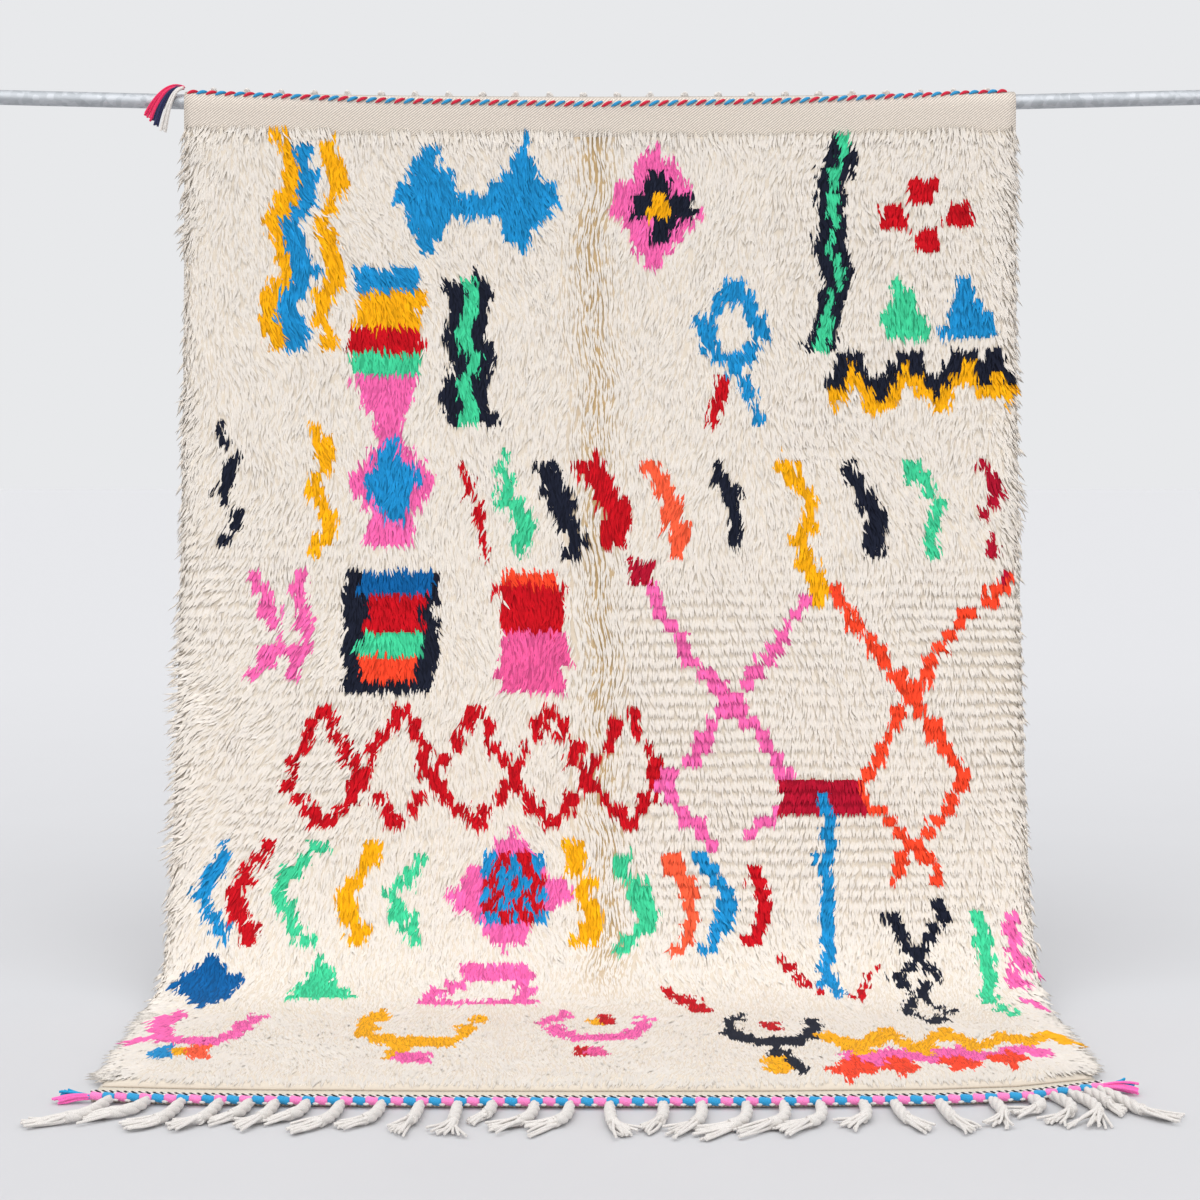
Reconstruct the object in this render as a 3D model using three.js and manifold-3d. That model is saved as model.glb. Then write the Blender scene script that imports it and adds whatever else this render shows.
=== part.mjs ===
// A hand-knotted shag rug hung over a tube, swept forward and laid on the floor.
// Millimetres, +Z up. The pile faces -Y and the tube runs along X.
import * as THREE from "three";
import { mergeVertices } from "three/addons/utils/BufferGeometryUtils.js";
import Module from "manifold-3d";

const wasm = await Module();
wasm.setup();

// Tube: three-quarter inch galvanised pipe, sagging a little under the rug.
const ROD_RADIUS = 13.45;
const ROD_HALF_LENGTH = 1150;
const ROD_MIDDLE_HEIGHT = 1563;
const ROD_RISE_AT_EDGES = 9;
const ROD_SIDES = 24;

// Rug, as woven.
const RUG_WIDTH = 1500;
const WEAVE_THICK = 5;
const PILE_THICK = 26;
const TOP_FLAT_WEAVE = 52; // below the tube's axis
const BOTTOM_FLAT_WEAVE = 72;
const PILE_RISE = 40; // length over which the first locks lift off the weave
const BACK_RADIUS = ROD_RADIUS + 1; // the weave's back, round the tube
const TOP_EDGE_ANGLE = 100; // degrees from the tube's front, past its top
const ARCH_STEP = 25;
const HALF_WIDTH = RUG_WIDTH / 2;
const BACK_COLUMNS = [-750, -625, -500, -250, 0, 250, 500, 625, 750];
const FRONT_COLUMNS = 25;
const MIDDLE_COLUMN = (FRONT_COLUMNS - 1) / 2;
const FRONT_INSET = 6;
const ROW_PITCH = 30;
const SIDE_HEIGHT_SHARE = 0.45; // of the pile, where its sides stand out furthest

// Pile: lumps, the furrows between rows of knots, and the parting down the middle.
const LUMP_SHARE = 0.19;
const FURROW_DEPTH = 5;
const FURROW_LEAST = 0.35; // of that depth, where the furrows are shallowest
const FURROW_DEEPENS = { fromX: -100, toX: 350, fromBelow: 500, toBelow: 900 };
const PARTING_DEPTH = 9;
const PARTING_TOP_X = -18;
const PARTING_BOTTOM_X = 30;
const HANGING_OVERHANG = 10;
const FLOOR_OVERHANG = 24;
const LOCK_REACH = 8; // every second row ends in a lock at each side
const LOCK_DROOP = 11;
const LOCK_OVER_WEAVE = 14; // locks of the last row, over the bottom flat weave

// The weave's back from the tube's front to the floor.
const DRAPE = [
  { forward: BACK_RADIUS, height: ROD_MIDDLE_HEIGHT },
  { forward: 17, height: 1480 },
  { forward: 24, height: 1390 },
  { forward: 40, height: 1214 },
  { forward: 62, height: 1034 },
  { forward: 90, height: 853 },
  { forward: 124, height: 676 },
  { forward: 166, height: 503 },
  { forward: 212, height: 335 },
  { forward: 248, height: 232 },
  { forward: 284, height: 156 },
  { forward: 324, height: 94 },
  { forward: 370, height: 50 },
  { forward: 428, height: 19 },
  { forward: 495, height: 3.5 },
  { forward: 560, height: 0 },
];
const FLOOR_START = DRAPE.at(-1).forward;

// The bottom edge lies in a bow, its right corner drawn back.
const EDGE_MIDDLE = 1070;
const BOTTOM_EDGE = [
  { x: -750, forward: 1036 },
  { x: -625, forward: 1052 },
  { x: -500, forward: 1060 },
  { x: -250, forward: 1068 },
  { x: 0, forward: EDGE_MIDDLE },
  { x: 250, forward: 1068 },
  { x: 500, forward: 1056 },
  { x: 625, forward: 1036 },
  { x: 750, forward: 978 },
];

// Cord worked across the top flat weave, higher towards both ends.
const TWIST_LINE = [
  { x: -744, angle: 60 },
  { x: -400, angle: 24 },
  { x: 0, angle: 10 },
  { x: 350, angle: 24 },
  { x: 600, angle: 52 },
  { x: 744, angle: 78 },
];
const TWIST_RADIUS = 4.2;
const TWIST_WAIST = 3;
const TWIST_STITCH = 17;
const PIECE_GAP = 0.5;

// Braid along the bottom edge: offsets from the edge and heights over the floor.
const BRAID_STITCH = 18.5;
const BRAID_WAIST = 0.8;
const BRAID_MIDDLE = { forward: 8, height: 10.5 };
const BRAID_SECTION = [
  { forward: 1.5, height: 5 },
  { forward: 14, height: 5 },
  { forward: 15, height: 11 },
  { forward: 8.5, height: 16.5 },
  { forward: 1, height: 11 },
];

// Bottom fringe: its heading lies under the braid, its tassels in front of it.
const HEADING_DEPTH = 14;
const HEADING_THICK = 4;
const TASSEL_ROOT_THICK = 3.6;
const TASSEL_ROOT_START = 8;
const TASSEL_FRONT = 16.3;
const TASSEL_STEP_OUT = 1.4;
const TASSEL_WIDTH = 16;
const TASSEL_THICK = 15;
const TASSEL_TOP_SHARE = 0.7; // of its width
const TASSEL_STRAIGHT = 0.7; // share of its reach before it turns aside
const TASSEL_TURN = { aside: 0.3, out: 0.92 };
const TASSEL_SWING = 1.3; // how far the brushed end swings, over the tip's place
const TASSEL_RINGS = [
  { along: 0, width: 1, thick: 1 },
  { along: 0.3, width: 1, thick: 1 },
  { along: 0.52, width: 0.95, thick: 0.95 },
  { along: 0.7, width: 0.85, thick: 0.85 },
  { along: 0.86, width: 1.35, thick: 0.8 },
  { along: 1, width: 1.6, thick: 0.45 },
];
const FLOOR_TASSELS = [
  { root: -720, tip: -790, reach: 120 },
  { root: -664, tip: -722, reach: 78 },
  { root: -612, tip: -655, reach: 128 },
  { root: -556, tip: -592, reach: 122 },
  { root: -512, tip: -546, reach: 84 },
  { root: -474, tip: -506, reach: 106 },
  { root: -428, tip: -464, reach: 80 },
  { root: -378, tip: -422, reach: 126 },
  { root: -318, tip: -356, reach: 108 },
  { root: -262, tip: -284, reach: 124 },
  { root: -207, tip: -216, reach: 138 },
  { root: -157, tip: -178, reach: 72 },
  { root: -95, tip: -138, reach: 112 },
  { root: -44, tip: -88, reach: 118 },
  { root: 14, tip: 30, reach: 146 },
  { root: 92, tip: 70, reach: 118 },
  { root: 148, tip: 110, reach: 132 },
  { root: 213, tip: 156, reach: 140 },
  { root: 267, tip: 214, reach: 130 },
  { root: 320, tip: 270, reach: 126 },
  { root: 384, tip: 358, reach: 108 },
  { root: 430, tip: 456, reach: 122 },
  { root: 496, tip: 518, reach: 130 },
  { root: 575, tip: 570, reach: 124 },
  { root: 634, tip: 610, reach: 78 },
  { root: 668, tip: 652, reach: 132 },
  { root: 697, tip: 702, reach: 164 },
  { root: 723, tip: 748, reach: 104 },
  { root: 743, tip: 806, reach: 150 },
];

// Top fringe: a heading past the rug's edge, its tassels over the tube and down behind it.
const TOP_HEADING_FROM = 103;
const TOP_HEADING_TO = 128;
const TOP_HEADING_INNER = BACK_RADIUS + PIECE_GAP;
const TOP_HEADING_OUTER = 19.5;
const TOP_TASSEL_COUNT = 24;
const TOP_TASSEL_PITCH = 61;
const TOP_TASSEL_BACK_SHARE = 0.6; // its width behind, of its width in front
const TOP_TASSEL_PATH = [
  { behind: 4.4, above: 21, width: 13, thick: 9 },
  { behind: 13, above: 22, width: 14, thick: 12 },
  { behind: 24, above: 8, width: 12, thick: 10 },
  { behind: 24, above: -50, width: 11, thick: 9 },
  { behind: 25, above: -82, width: 17, thick: 9 },
  { behind: 25, above: -112, width: 21, thick: 6 },
];

// Corner tassels: each strand from its head to its tip, by way of a bend.
const YARN_THICK = 5;
const YARN_STEPS = 4;
const YARN_SIDES = [0, 120, 240];
const YARN_ROOT_SPREAD = 3;
const YARN_ROOT_FIRST = 4.5;
const TOP_LEFT_HEAD = { x: -759, forward: 8, height: 24.5, size: [13, 16, 10] };
const TOP_LEFT_YARNS = [
  { bendX: -786, bendForward: 24, bendHeight: 36, tipX: -816, tipForward: 20, tipHeight: -26 },
  { bendX: -783, bendForward: 27, bendHeight: 32, tipX: -808, tipForward: 23, tipHeight: -34 },
  { bendX: -779, bendForward: 30, bendHeight: 28, tipX: -799, tipForward: 26, tipHeight: -42 },
  { bendX: -772, bendForward: 33, bendHeight: 24, tipX: -788, tipForward: 28, tipHeight: -54 },
];
const BOTTOM_HEAD_SIZE = [12, 13, 9];
const BOTTOM_HEAD = { beside: 757, ahead: 8, height: 4.5 };
const BOTTOM_YARN_LIFT = 6; // of its bend over the head
const BOTTOM_YARNS = [
  { beside: 14, ahead: -16, out: 28, tip: 15 },
  { beside: 18, ahead: -7, out: 36, tip: 11 },
  { beside: 20, ahead: 3, out: 43, tip: 2.5 },
  { beside: 18, ahead: 13, out: 40, tip: 2.5 },
];

// Colours of the yarns and the tube.
const IVORY_WOOL = 0xe5ddd1;
const WHITE_COTTON = 0xeae5e0;
const RED_WOOL = 0xc8283a;
const PINK_WOOL = 0xf86fba;
const CRIMSON_WOOL = 0xd8305c;
const GALVANISED = 0xb9bcc0;

// A fixed unevenness from -1 to 1 for a row and a column.
function unevenness(row, column) {
  const wave = Math.sin(row * 127.1 + column * 311.7) * 43758.5453;
  return 2 * (wave - Math.floor(wave)) - 1;
}

// Reads one column of a table of rows in rising x, straight between rows and level past its ends.
function along(table, x, column) {
  const next = table.findIndex((row) => row.x > x);
  if (next === 0) return table[0][column];
  if (next < 0) return table.at(-1)[column];
  const [from, to] = [table[next - 1], table[next]];
  return THREE.MathUtils.mapLinear(x, from.x, to.x, from[column], to[column]);
}

// Rise of the tube's axis over its middle: a curve under the rug, straight beyond it.
function tubeRise(x) {
  const share = Math.abs(x) / HALF_WIDTH;
  return ROD_RISE_AT_EDGES * (share <= 1 ? share * share : 2 * share - 1);
}

// The same rise, straight between the columns of the weave's back.
const RISE_TABLE = BACK_COLUMNS.map((x) => ({ x, rise: tubeRise(x) }));

function bottomEdge(x) {
  return along(BOTTOM_EDGE, x, "forward");
}

// A point from its place along X, its distance forward of the tube's axis and its height.
function point(x, forward, height) {
  return new THREE.Vector3(x, -forward, height);
}

function radians(degrees) {
  return THREE.MathUtils.degToRad(degrees);
}

// The faces between each ring of points and the next; all rings have equally many points.
function sideFaces(rings) {
  const size = rings[0].length;
  const faces = [];
  for (let ring = 0; ring + 1 < rings.length; ring++) {
    for (let side = 0; side < size; side++) {
      const here = ring * size + side;
      const beside = ring * size + ((side + 1) % size);
      faces.push(here, beside, beside + size, here, beside + size, here + size);
    }
  }
  return faces;
}

// A closed skin over rings of points, with a flat cap at each end.
function skin(rings) {
  const size = rings[0].length;
  const faces = sideFaces(rings);
  const last = (rings.length - 1) * size;
  for (let side = 1; side + 1 < size; side++) {
    faces.push(0, side + 1, side, last, last + side, last + side + 1);
  }
  return closed(rings, faces);
}

// A geometry whose faces point outwards, whichever way its rings ran.
function closed(rings, faces) {
  const positions = rings.flat().flatMap((p) => [p.x, p.y, p.z]);
  const geometry = new THREE.BufferGeometry();
  geometry.setAttribute("position", new THREE.Float32BufferAttribute(positions, 3));
  if (enclosed(positions, faces) < 0) faces.reverse();
  geometry.setIndex(faces);
  return geometry;
}

// The signed volume inside a skin.
function enclosed(positions, faces) {
  const corner = (index) => new THREE.Vector3().fromArray(positions, 3 * index);
  let volume = 0;
  for (let face = 0; face < faces.length; face += 3) {
    const [a, b, c] = [corner(faces[face]), corner(faces[face + 1]), corner(faces[face + 2])];
    volume += a.dot(b.cross(c)) / 6;
  }
  return volume;
}

// Several closed geometries fused into one.
function fuse(geometries) {
  const whole = geometries.map(solid).reduce((sum, next) => sum.add(next));
  const mesh = whole.getMesh();
  const geometry = new THREE.BufferGeometry();
  geometry.setAttribute("position", new THREE.BufferAttribute(mesh.vertProperties, 3));
  geometry.setIndex(new THREE.BufferAttribute(mesh.triVerts, 1));
  return geometry;
}

function solid(geometry) {
  const plain = geometry.clone();
  plain.deleteAttribute("normal");
  plain.deleteAttribute("uv");
  const merged = mergeVertices(plain, 1e-3);
  const vertProperties = merged.getAttribute("position").array;
  const triVerts = new Uint32Array(merged.index.array);
  return new wasm.Manifold(new wasm.Mesh({ numProp: 3, vertProperties, triVerts }));
}

// The tube, in sections that stand upright so that its ends are square to X.
function rodGeometry() {
  const stations = [-ROD_HALF_LENGTH, ...BACK_COLUMNS, ROD_HALF_LENGTH];
  const rings = stations.map((x) =>
    Array.from({ length: ROD_SIDES }, (_, side) => {
      const angle = (2 * Math.PI * side) / ROD_SIDES;
      const height = ROD_MIDDLE_HEIGHT + tubeRise(x) + ROD_RADIUS * Math.sin(angle);
      return point(x, ROD_RADIUS * Math.cos(angle), height);
    }),
  );
  return skin(rings);
}

// One row of the rug across its width: where the weave's back lies and which way its front faces.
function rugRow(forward, height, direction, pile, rises) {
  const [ahead, up] = direction;
  return { forward, height, ahead, up, pile, rises, bow: 0, fromEdge: 0 };
}

// Rows over the tube, from the top edge to the tube's front.
function archRows() {
  const rows = [];
  for (let angle = TOP_EDGE_ANGLE; angle > 0; angle -= ARCH_STEP) {
    const direction = [Math.cos(radians(angle)), Math.sin(radians(angle))];
    const [ahead, up] = direction;
    rows.push(rugRow(BACK_RADIUS * ahead, ROD_MIDDLE_HEIGHT + BACK_RADIUS * up, direction, 0, 1));
  }
  return rows;
}

// Rows down the hanging part and round the bend to the floor.
function drapeRows() {
  const points = DRAPE.map((row) => new THREE.Vector3(row.forward, row.height, 0));
  const curve = new THREE.CatmullRomCurve3(points, false, "centripetal");
  const length = curve.getLength();
  const count = Math.round(length / ROW_PITCH);
  const rows = [];
  for (let index = 0; index < count; index++) {
    const share = index / count;
    const place = curve.getPointAt(share);
    const run = curve.getTangentAt(share);
    const below = share * length - TOP_FLAT_WEAVE;
    const pile = THREE.MathUtils.smoothstep(below, 0, PILE_RISE);
    const rises = THREE.MathUtils.smoothstep(place.y, 0.2 * ROD_MIDDLE_HEIGHT, ROD_MIDDLE_HEIGHT);
    rows.push(rugRow(place.x, Math.max(0, place.y), [-run.y, run.x], pile, rises));
  }
  return rows;
}

// Rows along the floor, spread more and more to follow the bowed bottom edge.
function floorRows() {
  const run = EDGE_MIDDLE - BOTTOM_FLAT_WEAVE - FLOOR_START;
  const count = Math.round(run / ROW_PITCH);
  const rows = [];
  for (let index = 0; index <= count; index++) {
    const row = rugRow(FLOOR_START, 0, [0, 1], 1, 0);
    rows.push({ ...row, bow: index / count, fromEdge: BOTTOM_FLAT_WEAVE });
  }
  const flat = rugRow(FLOOR_START, 0, [0, 1], 0, 0);
  rows.push({ ...flat, bow: 1, fromEdge: BOTTOM_FLAT_WEAVE / 2 });
  rows.push({ ...flat, bow: 1, fromEdge: 0 });
  return rows;
}

// A point of the rug: at x on its row, so far in front of the weave's back, slid along the cloth.
function onRug(row, x, thickness, slide = 0) {
  const spread = row.bow * (bottomEdge(x) - row.fromEdge - row.forward);
  const forward = row.forward + spread + thickness * row.ahead + slide * row.up;
  const lift = row.rises * along(RISE_TABLE, x, "rise");
  return point(x, forward, row.height + lift + thickness * row.up - slide * row.ahead);
}

// How deep the furrows lie: deepest on the right half, low down.
function furrowShare(row, x) {
  const { fromX, toX, fromBelow, toBelow } = FURROW_DEEPENS;
  const right = THREE.MathUtils.smoothstep(x, fromX, toX);
  const low = THREE.MathUtils.smoothstep(ROD_MIDDLE_HEIGHT - row.height, fromBelow, toBelow);
  return THREE.MathUtils.lerp(FURROW_LEAST, 1, right * low);
}

// The ring of points round the rug at one row: its back, a side, the pile and the other side.
function rugRing(row, index, count) {
  const lock = index % 2 === 1;
  const ring = [...BACK_COLUMNS].reverse().map((x) => onRug(row, x, 0));
  const overhang = THREE.MathUtils.lerp(HANGING_OVERHANG, FLOOR_OVERHANG, row.up);
  const reach = row.pile * (overhang + (lock ? LOCK_REACH : 0));
  const droop = row.pile * (lock ? LOCK_DROOP : 0) * (1 - row.up);
  const sideThick = 0.5 * WEAVE_THICK + SIDE_HEIGHT_SHARE * PILE_THICK * row.pile;
  const lastOfPile = row.pile === 1 && row.bow === 1;
  ring.push(onRug(row, -HALF_WIDTH - reach, sideThick, droop));
  for (let column = 0; column < FRONT_COLUMNS; column++) {
    const middle = column === MIDDLE_COLUMN;
    const partingX = THREE.MathUtils.lerp(PARTING_TOP_X, PARTING_BOTTOM_X, index / count);
    const evenX = (HALF_WIDTH - FRONT_INSET) * (column / MIDDLE_COLUMN - 1);
    const x = middle ? partingX : evenX;
    const furrow = lock ? 0 : FURROW_DEPTH * furrowShare(row, x);
    const lump = LUMP_SHARE * PILE_THICK * unevenness(index, column);
    const height = PILE_THICK + lump - furrow - (middle ? PARTING_DEPTH : 0);
    const over = lastOfPile && column % 2 === 1 ? LOCK_OVER_WEAVE : 0;
    ring.push(onRug(row, x, WEAVE_THICK + row.pile * height, over));
  }
  ring.push(onRug(row, HALF_WIDTH + reach, sideThick, droop));
  return ring;
}

// Joins the back and the front of one end row, which have different counts of points.
function endFaces(ring, first) {
  const back = BACK_COLUMNS.map((_, index) => BACK_COLUMNS.length - 1 - index);
  const front = ring.map((_, index) => index).slice(BACK_COLUMNS.length);
  const faces = [];
  let low = 0;
  let high = 0;
  while (low + 1 < back.length || high + 1 < front.length) {
    const lowX = low + 1 < back.length ? ring[back[low + 1]].x : Infinity;
    const highX = high + 1 < front.length ? ring[front[high + 1]].x : Infinity;
    const next = lowX < highX ? back[low + 1] : front[high + 1];
    faces.push(first + back[low], first + next, first + front[high]);
    if (lowX < highX) low += 1;
    else high += 1;
  }
  return faces;
}

// The rug in one piece: back, pile, sides and both woven ends.
function rugGeometry() {
  const rows = [...archRows(), ...drapeRows(), ...floorRows()];
  const rings = rows.map((row, index) => rugRing(row, index, rows.length));
  const last = (rings.length - 1) * rings[0].length;
  const ends = [...endFaces(rings[0], 0), ...endFaces(rings.at(-1), last).reverse()];
  return closed(rings, [...sideFaces(rings), ...ends]);
}

// The two-ply cord on the top flat weave, narrow between its stitches.
function twistGeometry() {
  const count = 2 * Math.round((TWIST_LINE.at(-1).x - TWIST_LINE[0].x) / TWIST_STITCH);
  const rings = [];
  for (let index = 0; index <= count; index++) {
    const x = THREE.MathUtils.lerp(TWIST_LINE[0].x, TWIST_LINE.at(-1).x, index / count);
    const angle = radians(along(TWIST_LINE, x, "angle"));
    const radius = index % 2 === 1 ? TWIST_RADIUS : TWIST_WAIST;
    const out = BACK_RADIUS + WEAVE_THICK + PIECE_GAP + TWIST_RADIUS;
    const axis = ROD_MIDDLE_HEIGHT + along(RISE_TABLE, x, "rise");
    const ring = YARN_SIDES.map((turn) => {
      const side = angle + radians(turn);
      const forward = out * Math.cos(angle) + radius * Math.cos(side);
      return point(x, forward, axis + out * Math.sin(angle) + radius * Math.sin(side));
    });
    rings.push(ring);
  }
  return skin(rings);
}

// The braid along the bottom edge, narrow between its stitches.
function braidGeometry() {
  const half = HALF_WIDTH - 1;
  const count = 2 * Math.round((2 * half) / BRAID_STITCH);
  const rings = [];
  for (let index = 0; index <= count; index++) {
    const x = THREE.MathUtils.lerp(-half, half, index / count);
    const share = index % 2 === 1 ? 1 : BRAID_WAIST;
    const ring = BRAID_SECTION.map((corner) => {
      const forward = THREE.MathUtils.lerp(BRAID_MIDDLE.forward, corner.forward, share);
      const height = THREE.MathUtils.lerp(BRAID_MIDDLE.height, corner.height, share);
      return point(x, bottomEdge(x) + forward, height);
    });
    rings.push(ring);
  }
  return skin(rings);
}

// Four corners of a strand lying on the floor: flat below, narrower above.
function floorRing(x, forward, run, width, thick) {
  const corner = (share, height) =>
    point(x + share * width * run.y, forward - share * width * run.x, height);
  const top = TASSEL_TOP_SHARE / 2;
  return [corner(-0.5, 0), corner(0.5, 0), corner(top, thick), corner(-top, thick)];
}

// The way straight out from the bottom edge at x, as a step along X and a step forward.
function outFromEdge(x) {
  const half = TASSEL_WIDTH / 2;
  const slope = (bottomEdge(x + half) - bottomEdge(x - half)) / TASSEL_WIDTH;
  return new THREE.Vector2(-slope, 1).normalize();
}

// A white cord tassel: rooted in the heading, curling over the floor to a brushed end.
function floorTassel({ root, tip, reach }) {
  const edge = bottomEdge(root);
  const out = outFromEdge(root);
  const rootRing = (forward) =>
    floorRing(root, edge + forward, out, TASSEL_WIDTH, TASSEL_ROOT_THICK);
  const start = new THREE.Vector2(root, edge + TASSEL_FRONT + TASSEL_STEP_OUT);
  const curve = new THREE.CubicBezierCurve(
    start,
    start.clone().addScaledVector(out, TASSEL_STRAIGHT * reach),
    new THREE.Vector2(root + TASSEL_TURN.aside * (tip - root), start.y + TASSEL_TURN.out * reach),
    new THREE.Vector2(root + TASSEL_SWING * (tip - root), start.y + reach),
  );
  const rings = TASSEL_RINGS.map((row) => {
    const place = curve.getPoint(row.along);
    const run = curve.getTangent(row.along);
    const width = row.width * TASSEL_WIDTH;
    return floorRing(place.x, place.y, run, width, row.thick * TASSEL_THICK);
  });
  return skin([rootRing(TASSEL_ROOT_START), rootRing(TASSEL_FRONT), ...rings]);
}

function bottomHeading() {
  const rings = BACK_COLUMNS.map((x) => {
    const near = bottomEdge(x) + PIECE_GAP;
    const far = near + HEADING_DEPTH;
    return [
      point(x, near, 0),
      point(x, far, 0),
      point(x, far, HEADING_THICK),
      point(x, near, HEADING_THICK),
    ];
  });
  return skin(rings);
}

function bottomFringeGeometry() {
  return fuse([bottomHeading(), ...FLOOR_TASSELS.map(floorTassel)]);
}

// The strip of warp ends just past the rug's top edge.
function topHeading() {
  const rings = BACK_COLUMNS.map((x) => {
    const axis = ROD_MIDDLE_HEIGHT + along(RISE_TABLE, x, "rise");
    const at = (angle, radius) =>
      point(x, radius * Math.cos(radians(angle)), axis + radius * Math.sin(radians(angle)));
    return [
      at(TOP_HEADING_FROM, TOP_HEADING_INNER),
      at(TOP_HEADING_FROM, TOP_HEADING_OUTER),
      at(TOP_HEADING_TO, TOP_HEADING_OUTER),
      at(TOP_HEADING_TO, TOP_HEADING_INNER),
    ];
  });
  return skin(rings);
}

// A tassel knotted at the top edge and falling behind the tube.
function topTassel(x) {
  const axis = ROD_MIDDLE_HEIGHT + along(RISE_TABLE, x, "rise");
  const path = TOP_TASSEL_PATH;
  const rings = path.map((row, index) => {
    const before = path[Math.max(0, index - 1)];
    const after = path[Math.min(path.length - 1, index + 1)];
    const run = new THREE.Vector2(after.behind - before.behind, after.above - before.above);
    run.normalize();
    const corner = (across, out) => {
      const behind = row.behind - out * row.thick * run.y;
      const above = row.above + out * row.thick * run.x;
      return point(x + across * row.width, -behind, axis + above);
    };
    const back = TOP_TASSEL_BACK_SHARE / 2;
    return [corner(-0.5, -0.5), corner(0.5, -0.5), corner(back, 0.5), corner(-back, 0.5)];
  });
  return skin(rings);
}

function topFringeGeometry() {
  const first = (-TOP_TASSEL_PITCH * (TOP_TASSEL_COUNT - 1)) / 2;
  const tassels = Array.from({ length: TOP_TASSEL_COUNT }, (_, index) =>
    topTassel(first + index * TOP_TASSEL_PITCH),
  );
  return fuse([topHeading(), ...tassels]);
}

// A loose yarn of three sides from its root over a bend to its tip.
function yarn(root, bend, tip) {
  const curve = new THREE.QuadraticBezierCurve3(root, bend, tip);
  const frames = curve.computeFrenetFrames(YARN_STEPS);
  const rings = Array.from({ length: YARN_STEPS + 1 }, (_, step) => {
    const place = curve.getPointAt(step / YARN_STEPS);
    return YARN_SIDES.map((turn) => {
      const across = frames.normals[step].clone().multiplyScalar(Math.cos(radians(turn)));
      const over = frames.binormals[step].clone().multiplyScalar(Math.sin(radians(turn)));
      return place.clone().addScaledVector(across.add(over), YARN_THICK / 2);
    });
  });
  return skin(rings);
}

// Where each yarn of a corner tassel starts, side by side in its head.
function yarnRoot(head, index) {
  return head.clone().add(new THREE.Vector3(0, YARN_ROOT_FIRST - YARN_ROOT_SPREAD * index, 0));
}

function headBlock(size, centre) {
  const block = new THREE.BoxGeometry(...size);
  return block.translate(centre.x, centre.y, centre.z);
}

// Crimson, navy and white ends that arch over the tube at the top left corner.
function topLeftTasselGeometry() {
  const head = TOP_LEFT_HEAD;
  const axis = ROD_MIDDLE_HEIGHT + tubeRise(head.x);
  const root = point(head.x, head.forward, axis + head.height);
  const yarns = TOP_LEFT_YARNS.map((row, index) => {
    const bend = point(row.bendX, row.bendForward, axis + row.bendHeight);
    const tip = point(row.tipX, row.tipForward, axis + row.tipHeight);
    return yarn(yarnRoot(root, index), bend, tip);
  });
  return fuse([headBlock(head.size, root), ...yarns]);
}

// Blue and pink ends of the braid, loose at a bottom corner: side is -1 at the left, 1 at the right.
function bottomTasselGeometry(side) {
  const { beside, ahead, height } = BOTTOM_HEAD;
  const edge = bottomEdge(side * HALF_WIDTH);
  const root = point(side * beside, edge + ahead, height);
  const yarns = BOTTOM_YARNS.map((row, index) => {
    const bendX = side * (beside + row.beside);
    const bend = point(bendX, edge + ahead + row.ahead / 2, height + BOTTOM_YARN_LIFT);
    const tip = point(side * (beside + row.out), edge + ahead + row.ahead, row.tip);
    return yarn(yarnRoot(root, index), bend, tip);
  });
  return fuse([headBlock(BOTTOM_HEAD_SIZE, root), ...yarns]);
}

function mesh(name, geometry, color, roughness, metalness) {
  const material = new THREE.MeshStandardMaterial({ color, roughness, metalness });
  const made = new THREE.Mesh(geometry, material);
  made.name = name;
  return made;
}

const part = new THREE.Group();
part.add(
  mesh("rod", rodGeometry(), GALVANISED, 0.45, 0.9),
  mesh("rug", rugGeometry(), IVORY_WOOL, 0.95, 0),
  mesh("top_twist", twistGeometry(), RED_WOOL, 0.9, 0),
  mesh("bottom_braid", braidGeometry(), PINK_WOOL, 0.9, 0),
  mesh("top_fringe", topFringeGeometry(), WHITE_COTTON, 0.9, 0),
  mesh("bottom_fringe", bottomFringeGeometry(), WHITE_COTTON, 0.9, 0),
  mesh("corner_tassel_top_left", topLeftTasselGeometry(), CRIMSON_WOOL, 0.9, 0),
  mesh("corner_tassel_bottom_left", bottomTasselGeometry(-1), PINK_WOOL, 0.9, 0),
  mesh("corner_tassel_bottom_right", bottomTasselGeometry(1), PINK_WOOL, 0.9, 0),
);

// The part's origin is on the floor, under the middle of its box.
const box = new THREE.Box3().setFromObject(part);
const middle = box.getCenter(new THREE.Vector3());
for (const piece of part.children) piece.position.set(-middle.x, -middle.y, -box.min.z);

export default part;
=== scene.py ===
"""Looks of a wool pile rug hung over a rod: its weave, pile, cords, tassels, rod and a plain stage."""

import math

import bmesh
import bpy
import numpy as np
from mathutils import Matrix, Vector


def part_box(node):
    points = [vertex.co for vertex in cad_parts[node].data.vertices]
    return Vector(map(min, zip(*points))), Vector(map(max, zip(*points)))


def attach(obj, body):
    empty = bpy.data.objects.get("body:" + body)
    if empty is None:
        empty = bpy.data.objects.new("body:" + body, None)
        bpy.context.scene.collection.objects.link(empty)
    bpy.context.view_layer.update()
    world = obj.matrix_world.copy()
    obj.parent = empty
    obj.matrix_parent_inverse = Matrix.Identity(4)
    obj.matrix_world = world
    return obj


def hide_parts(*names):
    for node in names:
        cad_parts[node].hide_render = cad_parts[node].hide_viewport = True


bl_info = {
    "name": "Pile rug on a rod",
    "version": (1, 0, 0),
    "blender": (4, 5, 0),
    "location": "View3D > Sidebar > Rug",
    "description": "Weaves a long-pile wool rug with knotted motifs, hung over a rod and laid on the floor",
    "category": "Object",
}

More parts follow.
